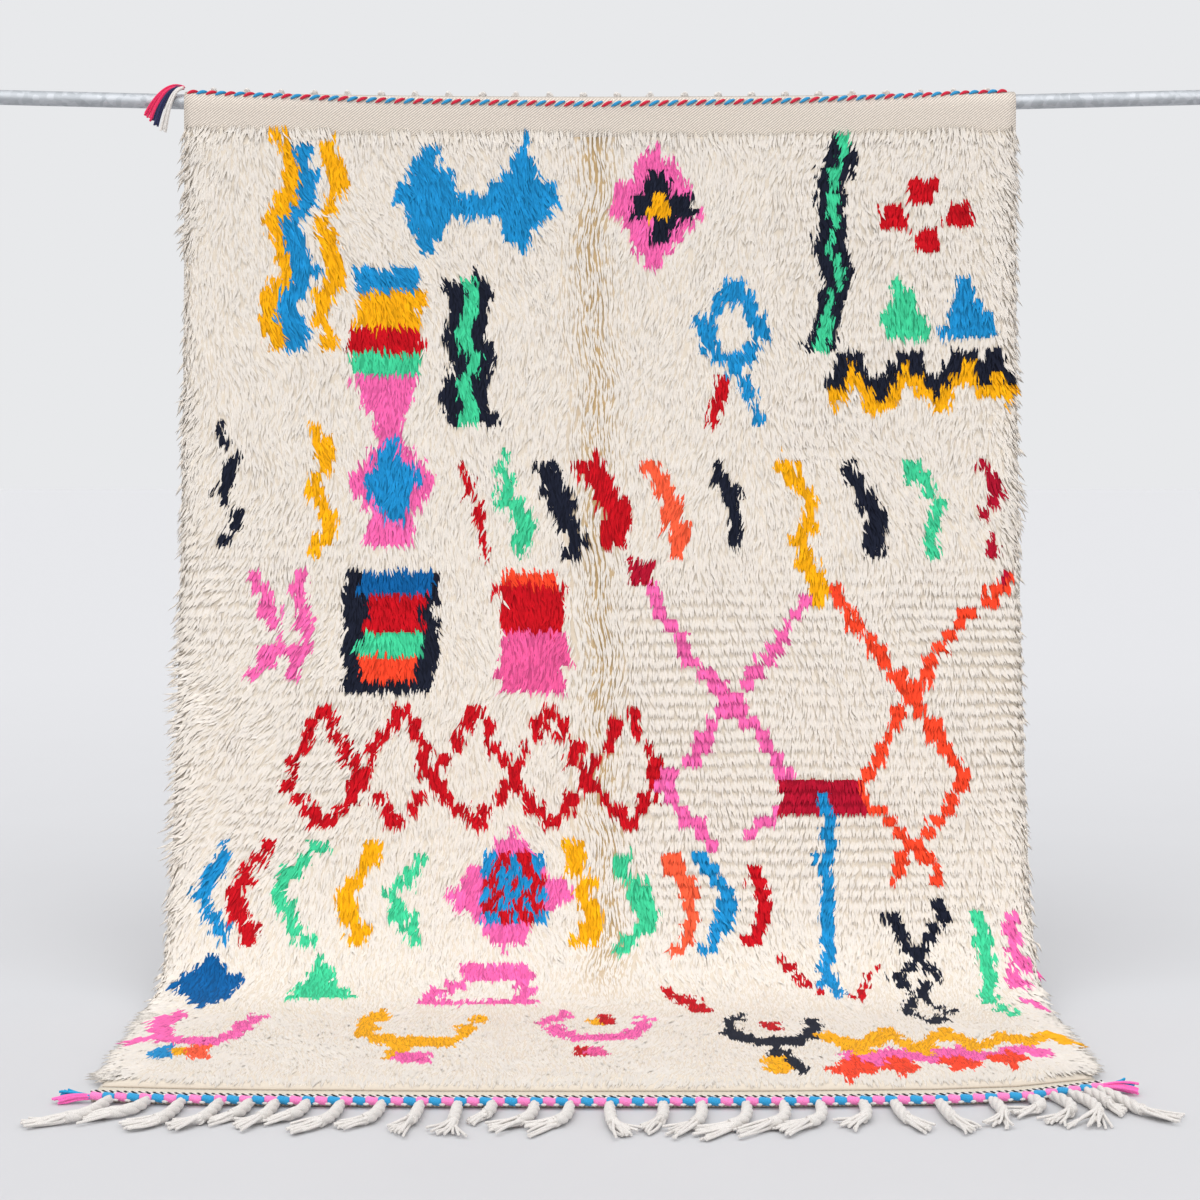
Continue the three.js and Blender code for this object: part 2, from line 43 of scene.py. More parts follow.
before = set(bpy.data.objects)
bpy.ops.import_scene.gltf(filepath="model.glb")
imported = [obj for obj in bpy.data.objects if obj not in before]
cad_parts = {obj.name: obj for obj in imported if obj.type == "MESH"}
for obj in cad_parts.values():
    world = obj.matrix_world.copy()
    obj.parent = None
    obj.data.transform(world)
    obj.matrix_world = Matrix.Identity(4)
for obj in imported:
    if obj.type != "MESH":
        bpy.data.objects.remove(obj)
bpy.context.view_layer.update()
MM = 0.001
CM = 0.01

# The rod's axis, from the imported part
ROD_LOW, ROD_HIGH = (np.array(corner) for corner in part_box("rod"))
ROD_Y = (ROD_LOW[1] + ROD_HIGH[1]) / 2
ROD_RADIUS = (ROD_HIGH[1] - ROD_LOW[1]) / 2
ROD_HALF_LENGTH = ROD_HIGH[0]
ROD_HEIGHT = ROD_LOW[2] + ROD_RADIUS
ROD_RISE = 9 * MM
RISE_FADES = 0.2

# The weave's size and its way from the top edge over the rod and down to the floor
HALF_WIDTH = 0.75
BACK_RADIUS = ROD_RADIUS + 1 * MM
WEAVE_THICK = 4.5 * MM
FLEECE_THICK = 13.5 * MM
TOP_EDGE_ANGLE = 100
PILE_TOP = 78 * MM
PILE_BOTTOM = 74 * MM
DRAPE = (
    # forward of the rod's axis, height over the floor, in millimetres
    (14.45, 1563),
    (17, 1480),
    (24, 1390),
    (40, 1214),
    (62, 1034),
    (90, 853),
    (124, 676),
    (166, 503),
    (212, 335),
    (248, 232),
    (284, 156),
    (324, 94),
    (370, 50),
    (428, 19),
    (495, 3.5),
    (560, 0),
)
EDGE_MIDDLE = 1070
BOTTOM_EDGE = (
    # across from the middle, forward of the rod's axis, in millimetres
    (-750, 1036),
    (-625, 1052),
    (-500, 1060),
    (-250, 1068),
    (0, EDGE_MIDDLE),
    (250, 1068),
    (500, 1056),
    (625, 1036),
    (750, 978),
)
TWIST_LINE = (
    # across in millimetres, angle round the rod from its front in degrees
    (-744, 60),
    (-400, 24),
    (0, 10),
    (350, 24),
    (600, 52),
    (744, 78),
)
FLOOR_TASSELS = (
    # root and tip across, reach out from the edge, in millimetres
    (-720, -790, 120),
    (-664, -722, 78),
    (-612, -655, 128),
    (-556, -592, 122),
    (-512, -546, 84),
    (-474, -506, 106),
    (-428, -464, 80),
    (-378, -422, 126),
    (-318, -356, 108),
    (-262, -284, 124),
    (-207, -216, 138),
    (-157, -178, 72),
    (-95, -138, 112),
    (-44, -88, 118),
    (14, 30, 146),
    (92, 70, 118),
    (148, 110, 132),
    (213, 156, 140),
    (267, 214, 130),
    (320, 270, 126),
    (384, 358, 108),
    (430, 456, 122),
    (496, 518, 130),
    (575, 570, 124),
    (634, 610, 78),
    (668, 652, 132),
    (697, 702, 164),
    (723, 748, 104),
    (743, 806, 150),
)
TASSEL_STRAIGHT = 0.7
TASSEL_TURN = (0.3, 0.92)
TASSEL_SWING = 1.3
TOP_TASSEL_COUNT = 24
TOP_TASSEL_PITCH = 61 * MM
TOP_TASSEL_PATH = (
    # behind and above the rod's axis, in millimetres
    (5, 20),
    (12, 22),
    (21, 16),
    (24, 4),
    (24, -30),
    (24, -66),
)

# Seeds of everything uneven
SEEDS = {
    "nap": 3,
    "fine nap": 4,
    "lock length": 5,
    "clumps": 6,
    "pile": 11,
    "furrows": 12,
    "crease sway": 14,
    "crease gaps": 15,
    "lumps": 16,
    "fine lumps": 17,
    "rows": 18,
    "knots": 21,
    "blotches and shading": 22,
    "bottom fringe": 23,
    "top fringe": 29,
    "corner yarns": 31,
}

# Dyes, as lit in the photograph
DYES = {
    "ivory": "#E7E0D8",
    "red": "#C71320",
    "crimson": "#B41531",
    "pink": "#F56BB0",
    "rose": "#EC5E9B",
    "blue": "#218FCB",
    "deep blue": "#10609F",
    "yellow": "#F8B014",
    "green": "#44CF99",
    "navy": "#1E2231",
    "orange": "#F84A2C",
    "coral": "#FB6240",
}
DYE_NAMES = tuple(DYES)
FLAT_WEAVE = "#DBD0C4"
# The lower strip's weave, lighter and warmer than the top's: the lightening is painted light against the
# shade from the pile and the braid.
FLAT_WEAVE_LOW_PAINTED_LIGHT = "#E6DBC8"
WEFT = "#DCD2C4"
# Tan of the wool's roots, laid on the roots and in the crease gaps as painted shade deep in the pile.
ROOT_TAN_SHADE = "#AC8E5E"
WHITE_COTTON = "#DAD5D0"


def linear(hex_colour):
    """An sRGB hex colour as linear red, green and blue."""
    parts = np.array([int(hex_colour[i : i + 2], 16) for i in (1, 3, 5)]) / 255
    return np.where(parts <= 0.04045, parts / 12.92, ((parts + 0.055) / 1.055) ** 2.4)


PALETTE = np.array([linear(DYES[name]) for name in DYE_NAMES])

# The rug's shape


def smooth_path(points, steps=40):
    """A centripetal Catmull-Rom curve through points, as many short steps."""
    points = np.array(points, float)
    ends = np.vstack([2 * points[0] - points[1], points, 2 * points[-1] - points[-2]])
    pieces = []
    for first in range(len(points) - 1):
        a, b, c, d = ends[first : first + 4]
        gaps = [math.sqrt(np.linalg.norm(q - p)) for p, q in ((a, b), (b, c), (c, d))]
        t0, t1, t2, t3 = np.cumsum([0.0, *gaps])
        t = np.linspace(t1, t2, steps, endpoint=False)[:, None]
        ab = (t1 - t) / (t1 - t0) * a + (t - t0) / (t1 - t0) * b
        bc = (t2 - t) / (t2 - t1) * b + (t - t1) / (t2 - t1) * c
        cd = (t3 - t) / (t3 - t2) * c + (t - t2) / (t3 - t2) * d
        abc = (t2 - t) / (t2 - t0) * ab + (t - t0) / (t2 - t0) * bc
        bcd = (t3 - t) / (t3 - t1) * bc + (t - t1) / (t3 - t1) * cd
        pieces.append((t2 - t) / (t2 - t1) * abc + (t - t1) / (t2 - t1) * bcd)
    pieces.append(points[-1:])
    return np.vstack(pieces)


def whole_path():
    """The weave's back from the top edge to the bottom edge at mid-width: forward and height."""
    angles = np.radians(np.linspace(TOP_EDGE_ANGLE, 0, 20, endpoint=False))
    arch = np.column_stack(
        [BACK_RADIUS * np.cos(angles), ROD_HEIGHT + BACK_RADIUS * np.sin(angles)]
    )
    hang = smooth_path(DRAPE) * MM
    floor = np.linspace(hang[-1], (EDGE_MIDDLE * MM, 0.0), 12)[1:]
    return np.vstack([arch, hang, floor])


PATH = whole_path()
PATH_STEP = np.gradient(PATH, axis=0)
PATH_STEP /= np.linalg.norm(PATH_STEP, axis=1, keepdims=True)
PATH_RUN = np.concatenate([[0.0], np.cumsum(np.linalg.norm(np.diff(PATH, axis=0), axis=1))])
RUG_LENGTH = PATH_RUN[-1]
FLOOR_RUN = RUG_LENGTH - (EDGE_MIDDLE - DRAPE[-1][0]) * MM
FLOOR_BLEND = 0.25


def smoothstep(value, low, high):
    share = np.clip((np.asarray(value) - low) / (high - low), 0, 1)
    return share * share * (3 - 2 * share)


def on_floor_share(run):
    """How far the rug has come down to the floor."""
    return smoothstep(run, FLOOR_RUN - FLOOR_BLEND, FLOOR_RUN)


def rod_rise(across):
    """How far the sagging rod's axis lies over its middle."""
    share = np.abs(across) / HALF_WIDTH
    return ROD_RISE * np.where(share <= 1, share**2, 2 * share - 1)


def bottom_edge(across):
    """How far forward the bowed bottom edge lies."""
    table = np.array(BOTTOM_EDGE) * MM
    return np.interp(across, table[:, 0], table[:, 1])


def rug_frame(across, run):
    """Points on the weave's back, with the ways along the cloth and out of its front."""
    across, run = np.broadcast_arrays(np.asarray(across, float), np.asarray(run, float))
    inside = np.clip(across, -HALF_WIDTH, HALF_WIDTH)
    forward = np.interp(run, PATH_RUN, PATH[:, 0])
    height = np.interp(run, PATH_RUN, PATH[:, 1])
    step_forward = np.interp(run, PATH_RUN, PATH_STEP[:, 0])
    step_up = np.interp(run, PATH_RUN, PATH_STEP[:, 1])
    spread = np.clip((run - FLOOR_RUN) / (RUG_LENGTH - FLOOR_RUN), 0, 1)
    forward = forward + spread * (bottom_edge(inside) - EDGE_MIDDLE * MM)
    rises = smoothstep(height, RISE_FADES * ROD_HEIGHT, ROD_HEIGHT)
    height = height + rises * rod_rise(inside)
    zero = np.zeros_like(across)
    place = np.stack([across, ROD_Y - forward, height], axis=-1)
    along = np.stack([zero, -step_forward, step_up], axis=-1)
    out = np.stack([zero, step_up, step_forward], axis=-1)
    return place, along, out


# The chart of knots, in centimetres: across from the middle and down from the top edge

FLOOR_STRETCH = 2.2


def line(dye, width, *points):
    return dye, lambda x, y: near_line(x, y, points, width / 2)


def floor_line(dye, width, *points):
    """A line of the lower figures, whose bars are longer along the rug than across it."""
    points = tuple((x, y / FLOOR_STRETCH) for x, y in points)
    return dye, lambda x, y: near_line(x, y / FLOOR_STRETCH, points, width / 2)


def antlers(dye, x, top, half, depth, width):
    """Two arms that curve up from a bar, as on many rugs of this kind."""
    left = [(-0.6, 0), (-1, 0.3), (-0.95, 0.7), (-0.5, 1)]
    right = [(0.5, 1), (0.75, 0.75), (1, 0.1)]
    points = [(x + half * aside, top + depth * down) for aside, down in left + right]
    return floor_line(dye, width, *points)


def wave(dye, left, right, high, low, turns, width):
    """A zigzag that runs across the rug."""
    places = np.linspace(left, right, turns + 1)
    points = [(x, low if turn % 2 else high) for turn, x in enumerate(places)]
    return floor_line(dye, width, *points)


def zigzag(dye, x, top, bottom, swing, turns, width, lean=0):
    points = []
    for turn in range(turns + 1):
        share = turn / turns
        aside = swing if turn % 2 else -swing
        points.append((x + aside + lean * (share - 0.5), top + (bottom - top) * share))
    return line(dye, width, *points)


def diamond(dye, x, y, half_width, half_height):
    return dye, lambda a, b: np.abs(a - x) / half_width + np.abs(b - y) / half_height <= 1


def block(dye, left, right, top, bottom):
    return dye, lambda a, b: (a >= left) & (a <= right) & (b >= top) & (b <= bottom)


def triangle(dye, apex, top, left, right, bottom):
    def inside(a, b):
        share = (b - top) / (bottom - top)
        level = (share >= 0) & (share <= 1)
        return level & (a >= apex + (left - apex) * share) & (a <= apex + (right - apex) * share)

    return dye, inside


def squares(dye, half_width, half_height, *centres):
    return [
        block(dye, x - half_width, x + half_width, y - half_height, y + half_height)
        for x, y in centres
    ]


def chequer(dyes, left, top, width, height, columns, rows):
    made = []
    for row in range(rows):
        for column in range(columns):
            x = left + column * width
            y = top + row * height
            made.append(block(dyes[(row + column) % 2], x, x + width, y, y + height))
    return made


def near_line(x, y, points, reach):
    """Whether each place lies within reach of a line through points; the line's ends are square."""
    inside = np.zeros(np.shape(x), bool)
    last = len(points) - 2
    for index, ((x0, y0), (x1, y1)) in enumerate(zip(points, points[1:])):
        length = (x1 - x0) ** 2 + (y1 - y0) ** 2
        share = ((x - x0) * (x1 - x0) + (y - y0) * (y1 - y0)) / length
        beyond = ((share < 0) & (index == 0)) | ((share > 1) & (index == last))
        share = np.clip(share, 0, 1)
        away = np.hypot(x - x0 - share * (x1 - x0), y - y0 - share * (y1 - y0))
        inside |= (away <= reach) & ~beyond
    return inside


NAVY_SNAKE = ((44, 8.5), (41.5, 16.5), (42.2, 23), (41, 28), (42.8, 35), (39.5, 47))
PEAKS = (
    (42, 54),
    (45, 47.5),
    (50.5, 54.5),
    (55, 47.5),
    (60.5, 54),
    (65, 47.5),
    (69, 52),
    (71.5, 47.5),
    (74, 54),
)
CHAIN_TOPS = ((-49, 111), (-35, 110.5), (-22, 111.5), (-9, 111), (5.5, 111.5))
CHAIN_SIDES = (-55.5, -42, -29, -15.5, -2.5, 10)
CHAIN_SIDE_DOWN = 124.5
CHAIN_BOTTOM = 132.5


def chain(dye, width):
    """Five linked diamond outlines."""
    made = []
    for index, (x, top) in enumerate(CHAIN_TOPS):
        left = (CHAIN_SIDES[index], CHAIN_SIDE_DOWN)
        right = (CHAIN_SIDES[index + 1], CHAIN_SIDE_DOWN)
        made.append(line(dye, width, (x, top), left, (x, CHAIN_BOTTOM), right, (x, top)))
    return made


def upper_motifs():
    """The two top bands: zigzags, lozenges, squares, triangles and the tall figure."""
    return [
        zigzag("yellow", -57.4, 8.5, 48, 1.5, 5, 3.0, lean=-2.6),
        zigzag("blue", -54.2, 9.5, 47.5, 1.6, 5, 3.4, lean=-2.6),
        zigzag("yellow", -48.6, 9, 48, 1.4, 5, 2.9, lean=-2.2),
        diamond("blue", -31, 19.5, 6.6, 11),
        diamond("blue", -14, 19.5, 6.6, 11),
        block("blue", -28, -17, 19, 22),
        diamond("pink", 10.2, 21.2, 8.6, 12),
        *squares("navy", 1.9, 2.2, (10.2, 16.4), (7.2, 21), (14.8, 20.6), (11.4, 25.4)),
        block("yellow", 8.9, 13.1, 19.2, 23.2),
        line("navy", 5.2, *NAVY_SNAKE),
        line("green", 1.8, *NAVY_SNAKE),
        *squares("red", 1.9, 2.3, (57.7, 19.2), (52.3, 24), (64.3, 23.2), (58.6, 28.4)),
        triangle("green", 53.5, 32.5, 49.5, 60.5, 45.5),
        triangle("blue", 65.5, 33, 61, 72, 45),
        line("yellow", 3.4, *((x, y + 3) for x, y in PEAKS)),
        line("navy", 2.4, *PEAKS),
        block("blue", -44, -32.8, 32.5, 37.3),
        block("yellow", -44, -32, 37.3, 43),
        block("red", -45.2, -32.1, 43, 47.2),
        block("green", -45.2, -32.1, 47.2, 51.2),
        triangle("pink", -37.8, 66, -45, -31.5, 51.2),
        block("pink", -39.4, -36, 56, 66),
        diamond("pink", -37.3, 71, 8, 11),
        diamond("blue", -37.2, 70.6, 5.6, 8.6),
        block("pink", -41.3, -33.7, 77.5, 82.4),
        zigzag("navy", -23.6, 33.5, 60.5, 0.7, 5, 7.8),
        zigzag("green", -23.5, 34, 60, 0.5, 5, 2.4),
        line("blue", 2.7, (24.2, 34.5), (18, 43.8), (24.2, 50.5), (29.6, 43.6), (24.2, 34.5)),
        line("red", 2.2, (22.2, 51), (20.1, 60)),
        line("blue", 2.0, (24.7, 51), (29.4, 60.5)),
    ]


def middle_motifs():
    """Brackets, banded blocks, the chain of diamonds and the lattice."""
    return [
        zigzag("navy", -66.5, 61, 83, 1.6, 4, 2.0),
        zigzag("yellow", -49.8, 60.5, 85, 1.1, 4, 2.6),
        line("red", 1.7, (-25, 66.5), (-21.5, 76), (-20.3, 84.5)),
        line("green", 3.2, (-17.5, 66), (-16.6, 74.5), (-14, 76), (-13.2, 83.5)),
        line("navy", 4.2, (-10.5, 67), (-5.7, 77.5), (-4.3, 83.5)),
        line("red", 4.6, (-3, 67), (3.2, 75.5), (3.2, 82.5)),
        line("coral", 3.4, (8.6, 67), (13.2, 74.5), (13.5, 84.5)),
        line("navy", 2.6, (20.5, 68), (24.3, 74), (23.7, 83)),
        line("yellow", 3.0, (32.2, 66.5), (38, 74.5), (36, 81), (39.5, 93.5)),
        line("navy", 2.8, (44.2, 67), (49.5, 77), (49, 84)),
        line("green", 2.8, (55, 67), (60.2, 74.5), (59.4, 84)),
        line("crimson", 2.2, (68, 67.5), (71, 71), (69, 78.5)),
        line("crimson", 2.2, (70, 81.5), (70.6, 84.5)),
        line("crimson", 2.2, (71, 87), (73.5, 88.5)),
        line("pink", 2.8, (-62, 87), (-56.5, 99)),
        line("pink", 2.8, (-54.2, 87.5), (-52, 99)),
        line("pink", 2.6, (-58.5, 100.5), (-50.5, 100.5)),
        line("pink", 2.4, (-57.5, 100.5), (-61.5, 106)),
        line("pink", 2.4, (-53.5, 100.5), (-54.7, 106)),
        block("navy", -45.4, -28.8, 87, 109),
        block("deep blue", -42.8, -30.6, 86.4, 91),
        block("red", -41.5, -31.8, 91, 97),
        block("green", -42.6, -31.8, 97, 101.4),
        block("orange", -43.5, -32.4, 101.4, 106),
        block("orange", -18.3, -7.3, 86.4, 90),
        block("red", -18.3, -6.4, 90, 98),
        block("rose", -18.2, -5.2, 98, 108),
        *chain("red", 2.0),
        line("crimson", 3.2, (6, 85), (9, 89.5)),
        line(
            "pink", 2.4, (9, 89.5), (15, 101.5), (23, 110), (18.5, 118), (10.5, 125.5), (15, 131), (20, 137)
        ),
        line("pink", 2.4, (36.7, 91), (32, 100), (24, 110.5), (27.7, 116), (33, 123.5)),
        line("pink", 1.8, (31.5, 129.5), (27, 133), (24.5, 135.5)),
        line("orange", 2.2, (41, 90), (47, 98), (55.3, 109.5)),
        line("orange", 2.2, (73.5, 88.5), (65, 95), (55.3, 109.5)),
        line("orange", 2.2, (55.3, 109.5), (51, 117), (45.5, 127.5), (50.5, 131), (54.3, 137)),
        line("orange", 2.2, (55.3, 109.5), (61, 118), (64.7, 124), (60, 131), (54.3, 137)),
        line("orange", 2.0, (54.3, 137), (51, 141), (50.4, 145)),
        line("orange", 2.0, (55.5, 137), (58, 139.5), (59, 145)),
        block("crimson", 31.3, 46.4, 125.4, 131),
        line("blue", 2.2, (39.7, 127.5), (39.1, 145), (39.1, 157), (39.7, 171.5)),
        line("red", 1.8, (31.4, 158), (37.6, 168.5)),
        line("red", 1.8, (48, 160), (42.4, 169.5)),
    ]


def lower_motifs():
    """The row of brackets and the figures that lie on the floor."""
    return [
        line("blue", 2.8, (-65, 136.5), (-69, 145), (-64.2, 154)),
        line("red", 2.8, (-59, 136), (-63.5, 145.5), (-60.3, 154.5)),
        line("green", 2.6, (-49, 135), (-56, 145), (-50, 155)),
        line("yellow", 3.0, (-39.7, 135.5), (-44.6, 147), (-40.6, 155.5)),
        line("green", 2.4, (-29, 137), (-36.3, 145), (-31.3, 155)),
        diamond("pink", -15.6, 145, 10.6, 11.5),
        *chequer(("blue", "red"), -20.5, 138.5, 2.2, 2.6, 5, 5),
        line("yellow", 3.2, (-5, 135.5), (-1, 150), (-3.4, 155.5)),
        line("green", 2.8, (3, 137), (9, 149), (3.6, 157.5)),
        line("coral", 2.8, (12, 137), (16.6, 149), (13.2, 157)),
        line("blue", 2.8, (17.5, 137), (22.6, 146.5), (19, 157)),
        line("red", 2.6, (26.7, 140.5), (29, 148.5), (26.3, 155.5)),
        line("navy", 2.0, (50.4, 148.5), (54.2, 158)),
        line("navy", 2.0, (59.7, 146.5), (55.2, 158)),
        line("navy", 1.7, (54, 158), (50.7, 163), (54, 168.5), (57.5, 163), (54, 158)),
        line("navy", 1.8, (54, 168.5), (51, 176), (55, 185), (57.5, 176), (54, 168.5)),
        line("green", 2.6, (64.5, 147.5), (65.5, 155), (66.5, 159), (66, 170), (66.5, 175), (68.5, 178.5)),
        line("pink", 2.6, (71, 148.5), (71, 156), (73.5, 160), (70.5, 162), (71.5, 167)),
        line("pink", 2.6, (72, 171), (74, 175)),
        diamond("deep blue", -66.5, 165.5, 6.8, 9),
        triangle("green", -47, 157.5, -54.5, -40.5, 171.5),
        line("pink", 3.0, (-23, 161.5), (-11.5, 161.5)),
        line("pink", 3.2, (-13.5, 161), (-12.5, 172)),
        line("pink", 3.4, (-29.5, 171.5), (-11.5, 171.5)),
        line("pink", 2.4, (-28.5, 171), (-27.5, 167), (-23.5, 164.5)),
        antlers("pink", -64, 177, 7.2, 20, 3.0),
        floor_line("pink", 1.8, (-70, 195), (-74.5, 199)),
        block("blue", -69.5, -66.2, 202, 211),
        block("yellow", -66.2, -64, 203, 209),
        block("coral", -64, -61, 201, 210),
        antlers("yellow", -29, 177, 9.2, 21, 2.8),
        block("yellow", -33, -29.5, 200, 211),
        block("pink", -31.5, -26.5, 205, 211.5),
        antlers("pink", 0, 178, 8.2, 17, 2.6),
        block("yellow", -2, 0.2, 181, 186),
        block("red", 0.2, 2.6, 180, 186),
        block("red", -4, -1.8, 201, 208),
        block("rose", -1.8, 2, 202, 208),
        line("red", 2.8, (11.5, 166.5), (15, 172), (18, 177.5)),
        antlers("navy", 28, 179, 7.4, 19, 2.6),
        floor_line("navy", 2.4, (27.5, 199), (28, 208), (30.5, 213), (30.5, 219)),
        block("red", 26.3, 29, 183, 191),
        block("yellow", 24.5, 29, 208, 218),
        wave("pink", 37, 70, 206, 210, 7, 3.4),
        wave("yellow", 36, 60, 192, 204, 5, 3.2),
        wave("yellow", 61, 75, 201, 195.5, 4, 2.8),
        diamond("orange", 38.5, 215.5, 4.2, 7),
        diamond("orange", 45.5, 214.5, 3.4, 6),
        diamond("orange", 55, 213, 3.8, 7),
        diamond("orange", 63, 212.5, 3.6, 7),
    ]


KNOT_WIDTH = 1.2
KNOT_ROW = 2.2
KNOT_STRAY = 0.9
KNOT_STRAY_LUMP = 6


def dye_at(across, run):
    """The index of the dye at each place: the chart worked knot by knot, each row straying a little."""
    x = np.asarray(across) / CM
    row = np.round(np.asarray(run) / CM / KNOT_ROW)
    stray = KNOT_STRAY * soft_noise(x, row, KNOT_STRAY_LUMP, SEEDS["knots"], run_scale=1)
    x = (np.round(x / KNOT_WIDTH + row / 2) - row / 2) * KNOT_WIDTH + stray
    y = row * KNOT_ROW
    chosen = np.zeros(np.shape(x), int)
    for dye, inside in upper_motifs() + middle_motifs() + lower_motifs():
        chosen[inside(x, y)] = DYE_NAMES.index(dye)
    return chosen


# Settings


class RugPileSettings(bpy.types.PropertyGroup):
    lock_length: bpy.props.FloatProperty(
        name="Lock length", description="Mean length of a wool lock", default=0.036, unit="LENGTH"
    )
    lock_width: bpy.props.FloatProperty(
        name="Lock width", description="Width of a lock at its middle", default=0.0048, unit="LENGTH"
    )
    row_pitch: bpy.props.FloatProperty(
        name="Row pitch", description="Distance between rows of knots", default=0.022, unit="LENGTH"
    )
    locks_per_row: bpy.props.IntProperty(
        name="Locks per row", description="Locks knotted across one row", default=1040
    )
    bands: bpy.props.IntProperty(
        name="Bands", description="Pieces that the pile is divided into, down the rug", default=6
    )


class RugCordSettings(bpy.types.PropertyGroup):
    twist_pitch: bpy.props.FloatProperty(
        name="Twist pitch", description="One turn of the red and blue cord", default=0.034, unit="LENGTH"
    )
    braid_pitch: bpy.props.FloatProperty(
        name="Braid pitch", description="One turn of the pink and blue braid", default=0.037, unit="LENGTH"
    )
    tassel_width: bpy.props.FloatProperty(
        name="Tassel width", description="Thickness of a tassel's cord", default=0.0175, unit="LENGTH"
    )
    brush_strands: bpy.props.IntProperty(
        name="Brush strands", description="Loose strands at a tassel's end", default=12
    )


class RugStageSettings(bpy.types.PropertyGroup):
    camera_distance: bpy.props.FloatProperty(
        name="Camera distance", description="From the camera to the rod", default=5.027, unit="LENGTH"
    )
    camera_height: bpy.props.FloatProperty(
        name="Camera height", description="Over the floor", default=1.02, unit="LENGTH"
    )
    camera_pitch: bpy.props.FloatProperty(
        name="Camera pitch", description="Turned down from level", default=math.radians(4), subtype="ANGLE"
    )
    lens: bpy.props.FloatProperty(name="Lens", description="Focal length in millimetres", default=82.5)


# Materials


def add(tree, kind, settings=None, **sockets):
    """A shader node with its settings; each socket takes a value or another node's output."""
    node = tree.nodes.new(kind)
    for name, value in (settings or {}).items():
        setattr(node, name, value)
    for name, value in sockets.items():
        socket = node.inputs[name.replace("_", " ")]
        if isinstance(value, bpy.types.NodeSocket):
            tree.links.new(value, socket)
        else:
            socket.default_value = value
    return node


def start_material(name):
    """An empty material with its shader, linked to the output."""
    material = bpy.data.materials.new(name)
    material.use_nodes = True
    tree = material.node_tree
    tree.nodes.clear()
    shader = add(tree, "ShaderNodeBsdfPrincipled")
    output = add(tree, "ShaderNodeOutputMaterial")
    tree.links.new(shader.outputs["BSDF"], output.inputs["Surface"])
    return material, tree, shader


def set_values(shader, **values):
    for name, value in values.items():
        shader.inputs[name.replace("_", " ")].default_value = value


def rgba(colour):
    return (*(float(part) for part in colour), 1.0)


def mixed(tree, blend, factor, first, second):
    """A colour mix; factor, first and second are each a value or an output."""
    node = add(tree, "ShaderNodeMix", {"data_type": "RGBA", "blend_type": blend})
    for index, value in ((0, factor), (6, first), (7, second)):
        if isinstance(value, bpy.types.NodeSocket):
            tree.links.new(value, node.inputs[index])
        else:
            node.inputs[index].default_value = value
    return node.outputs[2]


def wool_pile_material():
    """Hand-spun wool, knotted and cut long: each lock a little lighter or darker, soft at its edges."""
    material, tree, shader = start_material("hand-knotted long wool pile")
    # The dye attribute holds each lock's dye with the painted shade of its root, the painted light of its tip
    # and the fleece's painted shade.
    dye = add(tree, "ShaderNodeAttribute", {"attribute_name": "dye"})
    place = add(tree, "ShaderNodeTexCoord")
    fibres = add(
        tree, "ShaderNodeTexNoise", Vector=place.outputs["Object"], Scale=1 / (3 * MM), Detail=3.0
    )
    shade = add(
        tree, "ShaderNodeMapRange", Value=fibres.outputs["Fac"], To_Min=0.94, To_Max=1.06
    ).outputs["Result"]
    grey = add(tree, "ShaderNodeCombineColor", Red=shade, Green=shade, Blue=shade)
    colour = mixed(tree, "MULTIPLY", 1.0, dye.outputs["Color"], grey.outputs["Color"])
    tree.links.new(colour, shader.inputs["Base Color"])
    bump = add(tree, "ShaderNodeBump", Strength=0.35, Distance=0.6 * MM, Height=fibres.outputs["Fac"])
    tree.links.new(bump.outputs["Normal"], shader.inputs["Normal"])
    set_values(shader, Roughness=0.95, Specular_IOR_Level=0.05, Sheen_Weight=0.05, Sheen_Roughness=0.6)
    return material


def flat_weave_material():
    """Ground of tight wool and cotton twill: fine slanting ribs, darkened in their grooves as painted shade,
    with the knots' backs in rows behind.
    """
    material, tree, shader = start_material("flat woven wool twill ground")
    # The dye attribute holds the ground's dyes, with the painted light of the lower strip.
    dye = add(tree, "ShaderNodeAttribute", {"attribute_name": "dye"})
    place = add(tree, "ShaderNodeUVMap", {"uv_map": "Weave"})
    turned = add(tree, "ShaderNodeMapping", Vector=place.outputs["UV"])
    turned.inputs["Rotation"].default_value = (0, 0, math.radians(-52))
    ribs = add(
        tree,
        "ShaderNodeTexWave",
        {"wave_type": "BANDS", "bands_direction": "X"},
        Vector=turned.outputs["Vector"],
        Scale=2 * math.pi / (20 * 3.8 * MM),
        Distortion=1.6,
        Detail=2.0,
    )
    threads = add(
        tree,
        "ShaderNodeTexNoise",
        Vector=place.outputs["UV"],
        Scale=1 / (4 * MM),
        Detail=5.0,
        Roughness=0.7,
    )
    # Painted shade and light: the ribs' grooves are darkened and their ridges a little lighter.
    rib_groove_shade = add(
        tree, "ShaderNodeMapRange", Value=ribs.outputs["Fac"], To_Min=0.6, To_Max=1.12
    ).outputs["Result"]
    uneven = add(
        tree, "ShaderNodeMapRange", Value=threads.outputs["Fac"], To_Min=0.72, To_Max=1.2
    ).outputs["Result"]
    shade = add(tree, "ShaderNodeMath", {"operation": "MULTIPLY"})
    tree.links.new(rib_groove_shade, shade.inputs[0])
    tree.links.new(uneven, shade.inputs[1])
    grey = add(
        tree,
        "ShaderNodeCombineColor",
        Red=shade.outputs[0],
        Green=shade.outputs[0],
        Blue=shade.outputs[0],
    )
    colour = mixed(tree, "MULTIPLY", 1.0, dye.outputs["Color"], grey.outputs["Color"])
    tree.links.new(colour, shader.inputs["Base Color"])
    bump = add(tree, "ShaderNodeBump", Strength=0.7, Distance=0.8 * MM, Height=ribs.outputs["Fac"])
    tree.links.new(bump.outputs["Normal"], shader.inputs["Normal"])
    set_values(shader, Roughness=0.95, Specular_IOR_Level=0.1, Sheen_Weight=0.1)
    return material


